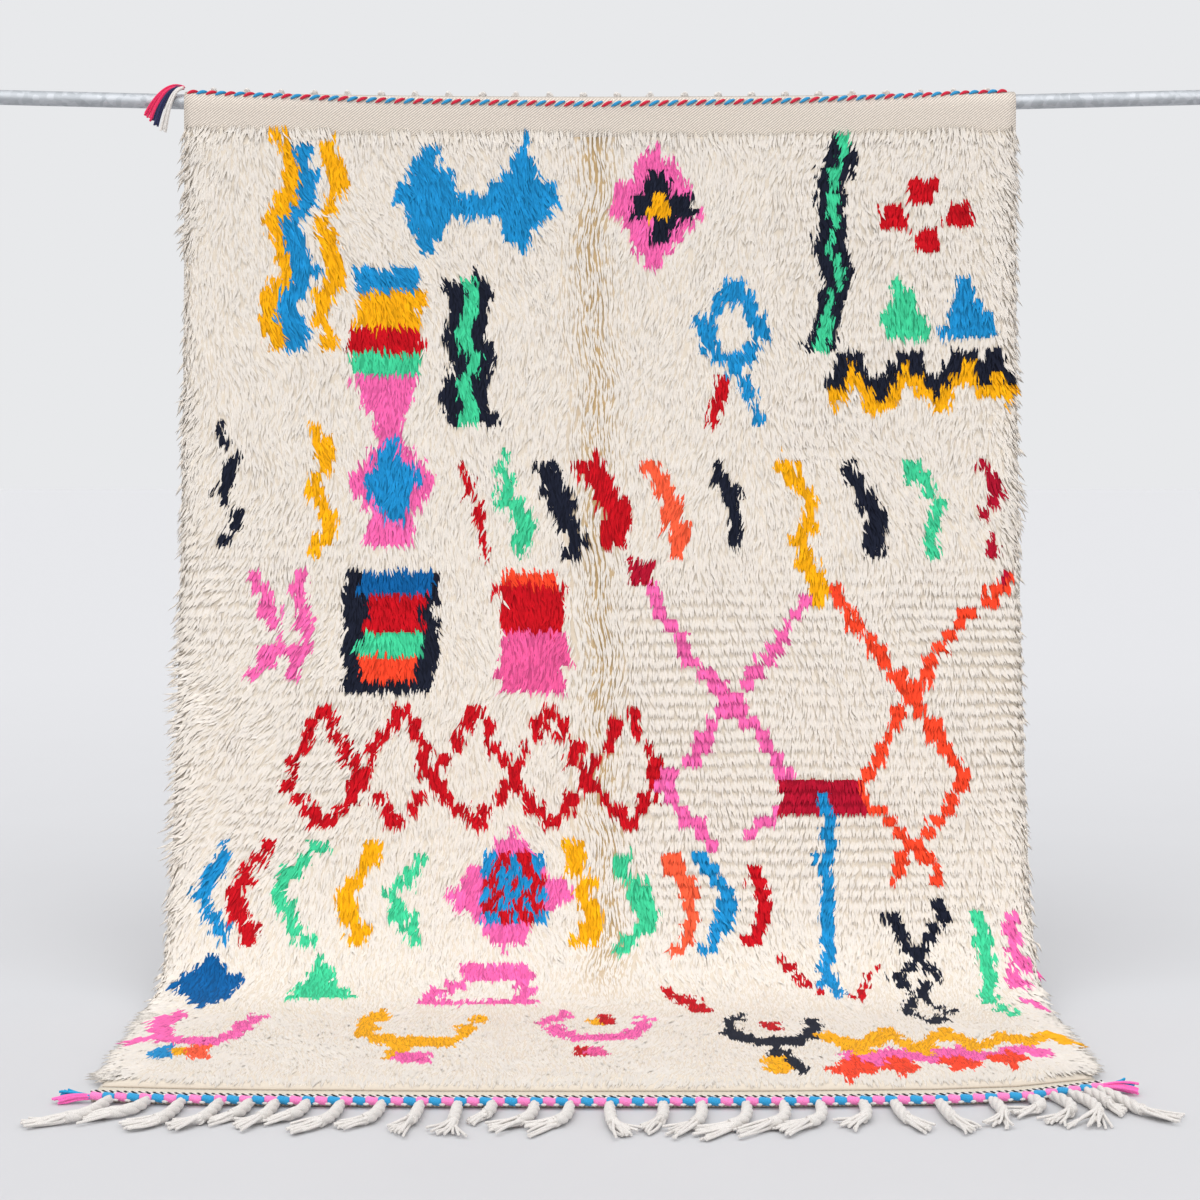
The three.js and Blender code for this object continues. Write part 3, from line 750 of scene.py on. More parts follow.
def yarn_material(name, hex_colour, fibre=1.6 * MM):
    """Spun yarn: fine fibres lighter and darker across it, dull, with a slight halo."""
    material, tree, shader = start_material(name)
    place = add(tree, "ShaderNodeTexCoord")
    fibres = add(
        tree, "ShaderNodeTexNoise", Vector=place.outputs["Object"], Scale=1 / fibre, Detail=4.0
    )
    base = linear(hex_colour)
    ramp = add(tree, "ShaderNodeValToRGB", Fac=fibres.outputs["Fac"])
    ramp.color_ramp.elements[0].position = 0.3
    ramp.color_ramp.elements[0].color = rgba(base * 0.74)
    ramp.color_ramp.elements[1].position = 0.7
    ramp.color_ramp.elements[1].color = rgba(np.minimum(base * 1.1, 1))
    tree.links.new(ramp.outputs["Color"], shader.inputs["Base Color"])
    bump = add(tree, "ShaderNodeBump", Strength=0.5, Distance=0.5 * MM, Height=fibres.outputs["Fac"])
    tree.links.new(bump.outputs["Normal"], shader.inputs["Normal"])
    set_values(shader, Roughness=0.9, Specular_IOR_Level=0.15, Sheen_Weight=0.2, Sheen_Roughness=0.5)
    return material


def galvanised_material():
    """Hot-dip galvanised pipe: pale zinc with faint crystals, dull and cool."""
    material, tree, shader = start_material("hot-dip galvanised steel pipe")
    place = add(tree, "ShaderNodeTexCoord")
    crystals = add(tree, "ShaderNodeTexVoronoi", Vector=place.outputs["Object"], Scale=1 / (9 * MM))
    streaks = add(
        tree, "ShaderNodeTexNoise", Vector=place.outputs["Object"], Scale=1 / (40 * MM), Detail=5.0
    )
    ramp = add(tree, "ShaderNodeValToRGB", Fac=crystals.outputs["Color"])
    ramp.color_ramp.elements[0].color = rgba(linear("#9CA0A4"))
    ramp.color_ramp.elements[1].color = rgba(linear("#BCBFC3"))
    tree.links.new(ramp.outputs["Color"], shader.inputs["Base Color"])
    rough = add(tree, "ShaderNodeMapRange", Value=streaks.outputs["Fac"], To_Min=0.36, To_Max=0.56)
    tree.links.new(rough.outputs["Result"], shader.inputs["Roughness"])
    set_values(shader, Metallic=0.75)
    return material


def floor_material():
    """Plain painted studio floor, pale and matt, barely mottled, paler far behind."""
    material, tree, shader = start_material("matt painted studio floor")
    place = add(tree, "ShaderNodeTexCoord")
    mottle = add(tree, "ShaderNodeTexNoise", Vector=place.outputs["Object"], Scale=1.4, Detail=3.0)
    ramp = add(tree, "ShaderNodeValToRGB", Fac=mottle.outputs["Fac"])
    ramp.color_ramp.elements[0].color = rgba(linear("#C2C2C4"))
    ramp.color_ramp.elements[1].color = rgba(linear("#C8C8CA"))
    split = add(tree, "ShaderNodeSeparateXYZ", Vector=place.outputs["Object"])
    far = add(tree, "ShaderNodeMapRange", Value=split.outputs["Y"], From_Min=0.5, From_Max=6.0)
    colour = mixed(tree, "MIX", far.outputs["Result"], ramp.outputs["Color"], rgba(linear("#CBCBCD")))
    tree.links.new(colour, shader.inputs["Base Color"])
    set_values(shader, Roughness=0.7, Specular_IOR_Level=0.2)
    return material


# Making pieces


def place_piece(name, mesh, nodes):
    """Links a mesh as a piece that rides on the part and stands for CAD nodes."""
    piece = bpy.data.objects.new(name, mesh)
    bpy.context.scene.collection.objects.link(piece)
    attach(piece, "root")
    if nodes:
        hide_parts(*nodes)
    return piece


def tubes(name, strands, materials, detail=2):
    """One mesh of round strands with closed ends: each its points, its radii and its material's index."""
    curve = bpy.data.curves.new(name, "CURVE")
    curve.dimensions = "3D"
    curve.bevel_depth = 1.0
    curve.bevel_resolution = detail
    curve.use_fill_caps = True
    curve.twist_mode = "MINIMUM"
    for material in materials:
        curve.materials.append(material)
    for points, radii, index in strands:
        spline = curve.splines.new("POLY")
        spline.points.add(len(points) - 1)
        spline.points.foreach_set("co", np.column_stack([points, np.ones(len(points))]).ravel())
        spline.points.foreach_set("radius", np.broadcast_to(radii, len(points)).astype(float))
        spline.material_index = index
        spline.use_smooth = True
    holder = bpy.data.objects.new(name, curve)
    bpy.context.scene.collection.objects.link(holder)
    mesh = bpy.data.meshes.new_from_object(holder.evaluated_get(bpy.context.evaluated_depsgraph_get()))
    bpy.data.objects.remove(holder)
    bpy.data.curves.remove(curve)
    mesh.name = name
    return mesh


def sideways(points):
    """For each point of a path, two unit vectors square to it."""
    run = np.gradient(points, axis=0)
    run /= np.linalg.norm(run, axis=1, keepdims=True)
    guide = np.array([0.0, 0.0, 1.0])
    if np.abs(run[:, 2]).mean() > 0.7:
        guide = np.array([1.0, 0.0, 0.0])
    first = np.cross(run, guide)
    first /= np.linalg.norm(first, axis=1, keepdims=True)
    return first, np.cross(run, first)


def plies(points, count, radius, pitch, phase=0.0):
    """Paths of plies twisted round a path: one array of points for each ply."""
    length = np.concatenate([[0.0], np.cumsum(np.linalg.norm(np.diff(points, axis=0), axis=1))])
    first, second = sideways(points)
    made = []
    for ply in range(count):
        angle = (2 * np.pi * length / pitch + 2 * np.pi * ply / count + phase)[:, None]
        made.append(points + radius * (np.cos(angle) * first + np.sin(angle) * second))
    return made


def resample(points, count):
    """The same path in equal steps."""
    points = np.asarray(points, float)
    length = np.concatenate([[0.0], np.cumsum(np.linalg.norm(np.diff(points, axis=0), axis=1))])
    wanted = np.linspace(0, length[-1], count)
    return np.column_stack([np.interp(wanted, length, points[:, axis]) for axis in range(3)])


# The weave


GROUND_CELLS = (80, 170)
FLEECE_CELLS = (110, 180)


def slab(name, cells, half, run_from, run_to, lower, upper):
    """A closed layer on the rug between two heights over the weave's back, with its place on the rug."""
    build = bmesh.new()
    bmesh.ops.create_grid(build, x_segments=cells[0], y_segments=cells[1], size=0.5)
    under = list(build.faces)
    raised = bmesh.ops.extrude_face_region(build, geom=under, use_keep_orig=True)["geom"]
    upper_verts = {item for item in raised if isinstance(item, bmesh.types.BMVert)}
    build.verts.index_update()
    unit = np.array([vert.co[:2] for vert in build.verts])
    on_top = np.array([vert in upper_verts for vert in build.verts])
    across = unit[:, 0] * 2 * half
    run = run_from + (0.5 - unit[:, 1]) * (run_to - run_from)
    place, _, out = rug_frame(across, run)
    height = np.where(on_top, upper(across, run), lower(across, run))
    for vert, point in zip(build.verts, place + height[:, None] * out):
        vert.co = point
    bmesh.ops.recalc_face_normals(build, faces=build.faces)
    weave = build.loops.layers.uv.new("Weave")
    for face in build.faces:
        face.smooth = True
        for corner in face.loops:
            index = corner.vert.index
            corner[weave].uv = (across[index], run[index])
    mesh = bpy.data.meshes.new(name)
    build.to_mesh(mesh)
    build.free()
    return mesh, across, run


def face_places(mesh, across, run):
    """Where the middle of each four-sided face lies on the rug."""
    corners = np.empty(len(mesh.loops), np.int32)
    mesh.loops.foreach_get("vertex_index", corners)
    return across[corners].reshape(-1, 4).mean(axis=1), run[corners].reshape(-1, 4).mean(axis=1)


def set_face_colours(mesh, colours):
    """One colour for each four-sided face."""
    dye = mesh.attributes.new("dye", "FLOAT_COLOR", "CORNER")
    each = np.repeat(np.column_stack([colours, np.ones(len(colours))]), 4, axis=0)
    dye.data.foreach_set("color", each.ravel())


def make_ground():
    """The woven ground in one sheet, over the rod, down and along the floor."""
    mesh, across, run = slab(
        "rug_ground",
        GROUND_CELLS,
        HALF_WIDTH,
        0.0,
        RUG_LENGTH,
        lambda a, r: np.zeros_like(a),
        lambda a, r: np.full_like(a, WEAVE_THICK),
    )
    face_across, face_run = face_places(mesh, across, run)
    colours = PALETTE[dye_at(face_across, face_run)]
    knotted = (face_run > PILE_TOP) & (face_run < RUG_LENGTH - PILE_BOTTOM)
    row = np.floor(face_run / RUG_LENGTH * GROUND_CELLS[1]).astype(int)
    colours[row % 2 == 0] = linear(WEFT)
    colours[~knotted] = linear(FLAT_WEAVE)
    # Painted light: the strip below the pile gets a lighter copy of the flat weave.
    colours[face_run > RUG_LENGTH - PILE_BOTTOM] = linear(FLAT_WEAVE_LOW_PAINTED_LIGHT)
    set_face_colours(mesh, colours)
    mesh.materials.append(flat_weave_material())
    return place_piece("rug_ground", mesh, ["rug"])


# The pile


def soft_noise(across, run, scale, seed, run_scale=None):
    """Smooth unevenness from -1 to 1 over the rug, with lumps of about scale metres."""
    grid = np.random.default_rng(seed).uniform(-1, 1, (160, 160))
    x = across / scale + 80
    y = run / (run_scale or scale) + 5
    column, row = np.floor(x).astype(int), np.floor(y).astype(int)
    a, b = smoothstep(x - column, 0, 1), smoothstep(y - row, 0, 1)
    column, row = column % 159, row % 159
    top = grid[row, column] * (1 - a) + grid[row, column + 1] * a
    low = grid[row + 1, column] * (1 - a) + grid[row + 1, column + 1] * a
    return top * (1 - b) + low * b


def parting_line(run):
    """Where the crease down the middle of the rug runs."""
    drift = -0.018 + 0.045 * run / RUG_LENGTH
    return drift + 0.006 * np.sin(run * 14) + 0.004 * np.sin(run * 37 + 1)


FURROWS = (
    # share, across from none to full, down the rug from none to full and from full to none, in metres
    (0.75, (-0.1, 0.15), (0.75, 0.95), (1.4, 1.65)),
    (0.35, (0.2, 0.4), (-0.2, 0.0), (0.55, 0.75)),
    (0.4, (-0.2, -0.5), (0.6, 0.9), (1.25, 1.5)),
)
FURROW_LEAST = 0.08
FURROW_PATCH = (0.75, 0.35)


def furrow_share(across, run):
    """How far the rows of knots stand apart, in patches: most on the right, in the middle of the hang."""
    total = FURROW_LEAST
    for share, wide, starts, ends in FURROWS:
        down = smoothstep(run, *starts) * (1 - smoothstep(run, *ends))
        total = total + share * smoothstep(across, *wide) * down
    patch = FURROW_PATCH[0] + FURROW_PATCH[1] * soft_noise(across, run, 0.12, SEEDS["furrows"])
    return np.clip(total * patch, 0, 1)


CREASE_COUNT = 11
CREASE_PITCH = 9.5 * MM
CREASE_SWAY = 4 * MM
CREASE_GAP = 0.62
CREASE_SPREAD = 40 * MM
CREASE_LEAST = 0.1


def crease_places(run):
    """Across places of the wavy creases beside the parting, one row for each crease."""
    offsets = (np.arange(CREASE_COUNT) - (CREASE_COUNT - 1) / 2) * CREASE_PITCH
    sway = [
        soft_noise(np.full_like(run, 0.4 * crease), run, 0.1, SEEDS["crease sway"], run_scale=0.05)
        for crease in range(CREASE_COUNT)
    ]
    return parting_line(run) + offsets[:, None] + CREASE_SWAY * np.array(sway)


def crease_zone(across, run):
    """Where the creases open: along the parting, while the rug hangs."""
    hangs = 1 - smoothstep(run, FLOOR_RUN - 0.3, FLOOR_RUN - 0.05)
    return np.exp(-(((across - parting_line(run)) / CREASE_SPREAD) ** 2)) * hangs


def comb_between_creases(across, runs, points):
    """Moves the points of locks near the parting so that no lock lies across a crease."""
    lines = crease_places(runs[0])
    index = (lines <= across).sum(axis=0) - 1
    zone = crease_zone(across, runs[0])
    near = np.flatnonzero((index >= 0) & (index < CREASE_COUNT - 1) & (zone > CREASE_LEAST))
    index = index[near]
    order = np.arange(len(near))
    left, right = lines[index, near], lines[index + 1, near]
    share = (across[near] - left) / (right - left)
    uneven = soft_noise(0.3 * index, runs[0][near], 0.1, SEEDS["crease gaps"], run_scale=0.035)
    gap = CREASE_GAP * smoothstep(uneven, -0.1, 0.5) * zone[near]
    share = 0.5 * gap + (1 - gap) * share
    for place, run in zip(points, runs):
        lines = crease_places(run[near])
        place[near, 0] = lines[index, order] + share * (lines[index + 1, order] - lines[index, order])


RIM_WIDTH = 40 * MM


def fleece_height(across, run):
    """The top of the dense wool that the locks lie on, rounded off at its rims."""
    side = smoothstep(HALF_WIDTH - np.abs(across), 0, RIM_WIDTH)
    top = smoothstep(run - PILE_TOP, 0, RIM_WIDTH)
    low = smoothstep(RUG_LENGTH - PILE_BOTTOM - run, -6 * MM, RIM_WIDTH)
    rim = (side * top * low) ** 0.6
    lumps = 2.0 * MM * soft_noise(across, run, 0.05, SEEDS["lumps"])
    lumps = lumps + 1.2 * MM * soft_noise(across, run, 0.02, SEEDS["fine lumps"])
    return WEAVE_THICK + 1.5 * MM + rim * (FLEECE_THICK + lumps)


# Painted shade on the fleece under the locks: ivory darkened and warmed, dyed wool darkened more.
FLEECE_PAINTED_SHADE = (0.80, 0.76, 0.69)
DYED_FLEECE_PAINTED_SHADE = (0.62, 0.62, 0.62)
# How far the fleece in the crease zone is turned tan, as painted shade in the gaps of the creases.
CREASE_PAINTED_SHADE = 0.9


def make_fleece():
    """The body of the pile: wool so dense that it reads as one soft layer under the locks, coloured darker
    than the locks as painted shade.
    """
    mesh, across, run = slab(
        "rug_fleece",
        FLEECE_CELLS,
        HALF_WIDTH - 4 * MM,
        PILE_TOP + 4 * MM,
        RUG_LENGTH - PILE_BOTTOM,
        lambda a, r: np.full_like(a, WEAVE_THICK + 0.3 * MM),
        fleece_height,
    )
    face_across, face_run = face_places(mesh, across, run)
    dye = dye_at(face_across, face_run)
    plain = (dye == 0)[:, None]
    # Painted shade along the creases: the fleece there is mixed towards tan.
    tan_shade = CREASE_PAINTED_SHADE * crease_zone(face_across, face_run)[:, None] * plain
    # Painted shade: the fleece's dyes darkened under the locks.
    colours = PALETTE[dye] * np.where(plain, FLEECE_PAINTED_SHADE, DYED_FLEECE_PAINTED_SHADE)
    set_face_colours(mesh, colours + tan_shade * (linear(ROOT_TAN_SHADE) - colours))
    mesh.materials.append(wool_pile_material())
    return place_piece("rug_fleece", mesh, ["rug"])


NAP_SWIRLS = (
    # turn in degrees, middle across and down the rug, reach across and down, in metres
    (-48, -0.62, 1.12, 0.2, 0.28),
    (14, 0.6, 1.0, 0.25, 0.3),
    (20, -0.45, 0.3, 0.3, 0.3),
)
NAP_EDGE = (24, 34)
NAP_PARTING = 16
NAP_STRAY = (20, 14)


def nap_angle(across, run):
    """Which way the nap lies, in degrees from straight down; positive is to the right."""
    on_floor = on_floor_share(run)
    edge = smoothstep(np.abs(across), 0.62, HALF_WIDTH) * np.sign(across)
    angle = edge * (NAP_EDGE[0] + NAP_EDGE[1] * on_floor)
    for turn, x, y, wide, long in NAP_SWIRLS:
        angle = angle + turn * np.exp(-(((across - x) / wide) ** 2) - ((run - y) / long) ** 2)
    aside = across - parting_line(run)
    apart = np.tanh(aside / 0.012) * np.exp(-((aside / 0.05) ** 2))
    angle = angle + NAP_PARTING * apart * (1 - on_floor)
    angle = angle + NAP_STRAY[0] * soft_noise(across, run, 0.11, SEEDS["nap"])
    return angle + NAP_STRAY[1] * soft_noise(across, run, 0.045, SEEDS["fine nap"])


FIRST_ROW_ABOVE = 16 * MM
LAST_ROW_ABOVE = 14 * MM


def lock_roots(settings, rng):
    """Where every lock is knotted: along wavy rows, closer to the row where the furrows show."""
    start = PILE_TOP - FIRST_ROW_ABOVE
    rows = int((RUG_LENGTH - PILE_BOTTOM - start) / settings.row_pitch)
    row = np.repeat(np.arange(rows), settings.locks_per_row)
    count = len(row)
    even = np.tile(np.linspace(-1, 1, settings.locks_per_row), rows) * (HALF_WIDTH - 5 * MM)
    across = even + rng.uniform(-2, 2, count) * MM
    middle = start + (row + 0.5) * settings.row_pitch
    middle = middle + 5 * MM * soft_noise(across, middle, 0.09, SEEDS["rows"])
    spread = settings.row_pitch * (0.6 - 0.5 * furrow_share(across, middle))
    run = middle + rng.uniform(-1, 1, count) * spread
    run = np.clip(run, start, RUG_LENGTH - PILE_BOTTOM - LAST_ROW_ABOVE)
    return across, run, row


def clump(points, keys, share):
    """Draws each point towards the middle of the points that share its key."""
    _, group = np.unique(keys, return_inverse=True)
    sizes = np.bincount(group)[:, None]
    middle = np.column_stack([np.bincount(group, points[:, axis]) for axis in range(3)]) / sizes
    return points + np.asarray(share)[:, None] * (middle[group] - points)


# How a lock grows, with turns and rises in degrees
LOCK_STRAY = 10
LOCK_CURL = 14
LOCK_UNEVEN = (-0.25, 0.2)
LOCK_RISE = (14, 4)
LOCK_FALL = (-4, 6)
LOCK_DEPTH = 3 * MM
LOCK_LOWEST = 2 * MM
FURROW_RISE = (18, 2)
FURROW_SHORTER = 0.26
LOW_RIM = (12 * MM, 60 * MM)
LOW_RIM_RISE = 16
LOW_RIM_SHORTER = 0.4
TOP_RIM = (-FIRST_ROW_ABOVE, 22 * MM)
TOP_RIM_RISE = 10
CLUMP_WIDTH = 12 * MM
CLUMP_WAVER = 5 * MM
CLUMP_COLUMNS = 4096
CLUMP_BEND = 0.12
CLUMP_TIP = (0.3, 0.25)


def lock_growth(across, run, settings, rng):
    """Every lock's length, and its turns and rises in radians over its two halves."""
    count = len(across)
    furrow = furrow_share(across, run)
    on_floor = on_floor_share(run)
    stray = (1 - 0.5 * furrow) * (1 - 0.5 * on_floor)
    lies = nap_angle(across, run) * (1 - 0.5 * furrow)
    turn = np.radians(lies + rng.normal(0, LOCK_STRAY, count) * stray)
    curl = turn + np.radians(rng.normal(0, LOCK_CURL, count) * stray)
    uneven = rng.uniform(*LOCK_UNEVEN, count) * (1 - 0.6 * furrow)
    uneven = uneven + 0.1 * soft_noise(across, run, 0.07, SEEDS["lock length"])
    low_rim = 1 - smoothstep(RUG_LENGTH - PILE_BOTTOM - run, *LOW_RIM)
    top_rim = 1 - smoothstep(run - PILE_TOP, *TOP_RIM)
    length = settings.lock_length * (1 + uneven)
    length = length * (1 - FURROW_SHORTER * furrow) * (1 - LOW_RIM_SHORTER * low_rim)
    calm = 1 - 0.4 * on_floor
    rise = rng.normal(*LOCK_RISE, count) * calm + FURROW_RISE[0] * furrow
    rise = rise + LOW_RIM_RISE * low_rim + TOP_RIM_RISE * top_rim
    fall = rng.normal(*LOCK_FALL, count) * calm + FURROW_RISE[1] * furrow
    return length, (turn, curl), (np.radians(rise), np.radians(fall))


def lock_shapes(across, run, row, settings, rng):
    """Three points of every lock, root, bend and tip, and its width; locks follow the fleece's height."""
    count = len(across)
    place, along, out = rug_frame(across, run)
    side = np.array([1.0, 0.0, 0.0])
    length, turns, rises = lock_growth(across, run, settings, rng)
    reach = 0.5 * length * np.cos(turns[0])
    runs = [run + halves * reach for halves in range(3)]
    heights = [fleece_height(across, each) for each in runs]
    points = [place + (heights[0] - LOCK_DEPTH)[:, None] * out]
    for half in range(2):
        turn, rise = turns[half][:, None], rises[half][:, None]
        way = np.cos(rise) * (np.sin(turn) * side + np.cos(turn) * along) + np.sin(rise) * out
        climb = (heights[half + 1] - heights[half])[:, None] * out
        points.append(points[-1] + 0.5 * length[:, None] * way + climb)
    root, bend, tip = points
    waver = CLUMP_WAVER * soft_noise(across, run, 0.012, SEEDS["clumps"])
    column = np.floor((across + waver) / CLUMP_WIDTH).astype(int)
    keys = row * CLUMP_COLUMNS + column + CLUMP_COLUMNS // 2
    bend = clump(bend, keys, np.full(count, CLUMP_BEND))
    drawn = CLUMP_TIP[0] + CLUMP_TIP[1] * rng.uniform(-1, 1, count)
    tip = clump(tip, keys, drawn * (1 - 0.5 * on_floor_share(run)))
    comb_between_creases(across, runs, (root, bend, tip))
    tip[:, 2] = np.maximum(tip[:, 2], LOCK_LOWEST)
    width = settings.lock_width * rng.uniform(0.7, 1.3, count) * (1 - 0.3 * crease_zone(across, run))
    return root, bend, tip, width


LOCK_SHIFT = 17 * MM
IVORY_SPREAD = (0.02, 0.01)
DYED_SPREAD = (0.07, 0.03)
# Patches of darker and lighter tone in the dyed wool: random everywhere, and stronger where the rug hangs as
# painted shade and light between the knots.
HANGING_PAINTED_SHADING = 0.11
WARM_STRAY = (1.0, 0.985, 0.955)
# How far the roots are tinted towards tan as painted shade: a little wherever the rug hangs, much more in the
# furrows.
ROOT_PAINTED_SHADE = (0.14, 0.55)


def lock_colours(across, run, rng):
    """Dye of every lock at its root, bend and tip, taken where the lock's outer half lies; the root carries
    painted shade and the tip a touch of painted light.
    """
    nap = np.radians(nap_angle(across, run))
    dye = dye_at(across + LOCK_SHIFT * np.sin(nap), run + LOCK_SHIFT * np.cos(nap))
    plain = (dye == 0)[:, None]
    count = len(dye)
    value = rng.normal(1, np.where(dye == 0, IVORY_SPREAD[0], DYED_SPREAD[0]), count)
    hangs = 1 - on_floor_share(run)
    # Random tone patches; on dyed wool where the rug hangs they are painted shade and light between the
    # knots.
    blotch_and_shading = np.where(dye == 0, IVORY_SPREAD[1], DYED_SPREAD[1] + HANGING_PAINTED_SHADING * hangs)
    value = value + blotch_and_shading * soft_noise(across, run, 9 * MM, SEEDS["blotches and shading"], run_scale=20 * MM)
    warm = np.array(WARM_STRAY) ** np.abs(rng.normal(0, 0.7, count))[:, None]
    base = np.clip(PALETTE[dye] * value[:, None] * np.where(plain, warm, 1), 0, 1)
    # Painted shade at the roots: ivory roots mixed towards tan, dyed roots darkened; the tips are a touch
    # lighter as painted light.
    tan_shade = linear(ROOT_TAN_SHADE)
    root_shade = (ROOT_PAINTED_SHADE[0] * hangs + ROOT_PAINTED_SHADE[1] * furrow_share(across, run))[:, None]
    root = np.where(plain, base + root_shade * (tan_shade - base), base * (0.75 - 0.3 * root_shade))
    return root, base, np.clip(base * 1.02, 0, 1)


LOCK_SIDES = 3
LOCK_POINTS = 5
LOCK_FACES = np.array([(0, 2, 1), (0, 3, 2), (0, 1, 3), (1, 2, 4), (2, 3, 4), (3, 1, 4)])
LOCK_BAKE = np.array([(0, 0), (-1, 0.9), (1, 0.9), (0, 1.2), (0, 2.2)])
LOCK_SOFTNESS = 0.76
LOCK_SOFTER_ON_FLOOR = 0.18
SIDE_RIM = (30 * MM, 6 * MM)
SIDE_RIM_TURN = 0.8
SIDE_RIM_HARDER = 0.7


def lock_mesh(name, root, bend, tip, width, colours, across, run):
    """Closed three-sided locks in one mesh: each a point at the root, a ring at the bend and a tip.

    Their normals lean towards the rug's own, so that the pile reads as soft. At the sides they face outwards.
    """
    count = len(root)
    _, _, out = rug_frame(across, run)
    rim = smoothstep(HALF_WIDTH - np.abs(across), *SIDE_RIM)
    out = out * (1 - SIDE_RIM_TURN * rim[:, None])
    out[:, 0] += SIDE_RIM_TURN * rim * np.sign(across)
    soft = LOCK_SOFTNESS + LOCK_SOFTER_ON_FLOOR * smoothstep(run, FLOOR_RUN - 0.2, FLOOR_RUN)
    soft = (soft * (1 - SIDE_RIM_HARDER * rim))[:, None]
    way = tip - root
    way /= np.linalg.norm(way, axis=1, keepdims=True)
    guide = np.where(np.abs(way[:, :1]) > 0.9, [0.0, 0.0, 1.0], [1.0, 0.0, 0.0])
    first = np.cross(way, guide)
    first /= np.linalg.norm(first, axis=1, keepdims=True)
    second = np.cross(way, first)
    points = np.empty((count, LOCK_POINTS, 3))
    points[:, 0] = root
    points[:, -1] = tip
    normals = np.repeat(out[:, None, :], LOCK_POINTS, axis=1)
    for corner in range(LOCK_SIDES):
        turn = 2 * math.pi * corner / LOCK_SIDES
        aside = math.cos(turn) * first + math.sin(turn) * second
        points[:, 1 + corner] = bend + 0.5 * width[:, None] * aside
        normals[:, 1 + corner] = soft * out + (1 - soft) * aside
    mesh = bpy.data.meshes.new(name)
    faces = (np.arange(count)[:, None, None] * LOCK_POINTS + LOCK_FACES[None]).reshape(-1, 3)
    mesh.vertices.add(count * LOCK_POINTS)
    mesh.vertices.foreach_set("co", points.ravel())
    mesh.loops.add(faces.size)
    mesh.loops.foreach_set("vertex_index", faces.ravel().astype(np.int32))
    mesh.polygons.add(len(faces))
    mesh.polygons.foreach_set("loop_start", np.arange(0, faces.size, 3, dtype=np.int32))
    mesh.polygons.foreach_set("use_smooth", np.ones(len(faces), bool))
    mesh.update(calc_edges=True)
    mesh.normals_split_custom_set_from_vertices(normals.reshape(-1, 3))
    dye = mesh.attributes.new("dye", "FLOAT_COLOR", "POINT")
    shades = np.ones((count, LOCK_POINTS, 4))
    for rows, colour in zip((slice(0, 1), slice(1, 4), slice(4, 5)), colours):
        shades[:, rows, :3] = colour[:, None, :]
    dye.data.foreach_set("color", shades.ravel())
    bake_places(mesh, faces, across, run)
    return mesh


def bake_places(mesh, faces, across, run):
    """A map that lays each lock's colours flat where the lock is knotted."""
    spread = np.array([2.2 * MM, 5 * MM])
    low = np.array([across.min(), run.min()]) - 4 * spread
    high = np.array([across.max(), run.max()]) + 4 * spread
    places = np.stack([across, run], axis=-1)[:, None, :] + LOCK_BAKE[None] * spread
    places = ((places - low) / (high - low)).reshape(-1, 2)
    layer = mesh.uv_layers.new(name="OFBake")
    layer.uv.foreach_set("vector", places[faces.ravel()].ravel())


def make_pile(context):
    """All the wool locks, in bands down the rug."""
    settings = context.scene.rug_pile
    rng = np.random.default_rng(SEEDS["pile"])
    across, run, row = lock_roots(settings, rng)
    root, bend, tip, width = lock_shapes(across, run, row, settings, rng)
    root_dye_and_shade, bend_dye_and_shading, tip_dye_and_light = lock_colours(across, run, rng)
    material = wool_pile_material()
    band = row * settings.bands // (row.max() + 1)
    made = []
    for index in range(settings.bands):
        own = band == index
        name = f"rug_pile_{index + 1}"
        colours = (root_dye_and_shade[own], bend_dye_and_shading[own], tip_dye_and_light[own])
        mesh = lock_mesh(name, root[own], bend[own], tip[own], width[own], colours, across[own], run[own])
        mesh.materials.append(material)
        made.append(place_piece(name, mesh, ["rug"]))
    return made


# Cords


STITCH_SLOPE = 0.22
STITCH_HALF = 0.58
STITCH_RISE = 2.6 * MM
STITCH_SUNK = 0.6 * MM
STITCH_RADII = (0.6 * MM, 2.5 * MM)


def make_twist(context):
    """Red and blue wool laid over the top flat weave, one slanting stitch after another."""
    step = context.scene.rug_cords.twist_pitch / 2
    table = np.array(TWIST_LINE, float)
    first, last = table[0, 0] * MM, table[-1, 0] * MM
    share = np.linspace(-1, 1, 13)
    strands = []
    for index in range(int((last - first) / step)):
        across = first + (index + 0.5) * step + STITCH_HALF * step * share
        angle = np.radians(np.interp(across / MM, table[:, 0], table[:, 1]))
        angle = angle + STITCH_SLOPE * share * step / BACK_RADIUS
        out = BACK_RADIUS + WEAVE_THICK + STITCH_RISE * (1 - share**2) - STITCH_SUNK
        height = ROD_HEIGHT + rod_rise(across) + out * np.sin(angle)
        path = np.column_stack([across, ROD_Y - out * np.cos(angle), height])
        radii = STITCH_RADII[0] + STITCH_RADII[1] * (1 - share**2) ** 0.7
        strands.append((path, radii, index % 2))
    red = yarn_material("red wool stitches", "#C9233D")
    blue = yarn_material("blue wool stitches", "#2C8FC2")
    mesh = tubes("top_twist_stitches", strands, [red, blue])
    place_piece("top_twist_stitches", mesh, ["top_twist"])


def edge_path(ahead, height, count):
    """A path along the bottom edge, so far in front of it and over the floor."""
    across = np.linspace(-HALF_WIDTH, HALF_WIDTH, count)
    forward = bottom_edge(across) + ahead
    return np.column_stack([across, ROD_Y - forward, np.full(count, height)])


BRAID_AHEAD = 8 * MM
BRAID_HEIGHT = 10.5 * MM
BRAID_RADIUS = 6.2 * MM
BRAID_END = 1.2 * MM
BRAID_OVERLAP = 0.56
BRAID_SLANT = -1.6 * MM
BRAID_FLECKS = (
    # ahead of the edge and over the floor, in millimetres
    (6, 15),
    (13, 7),
)


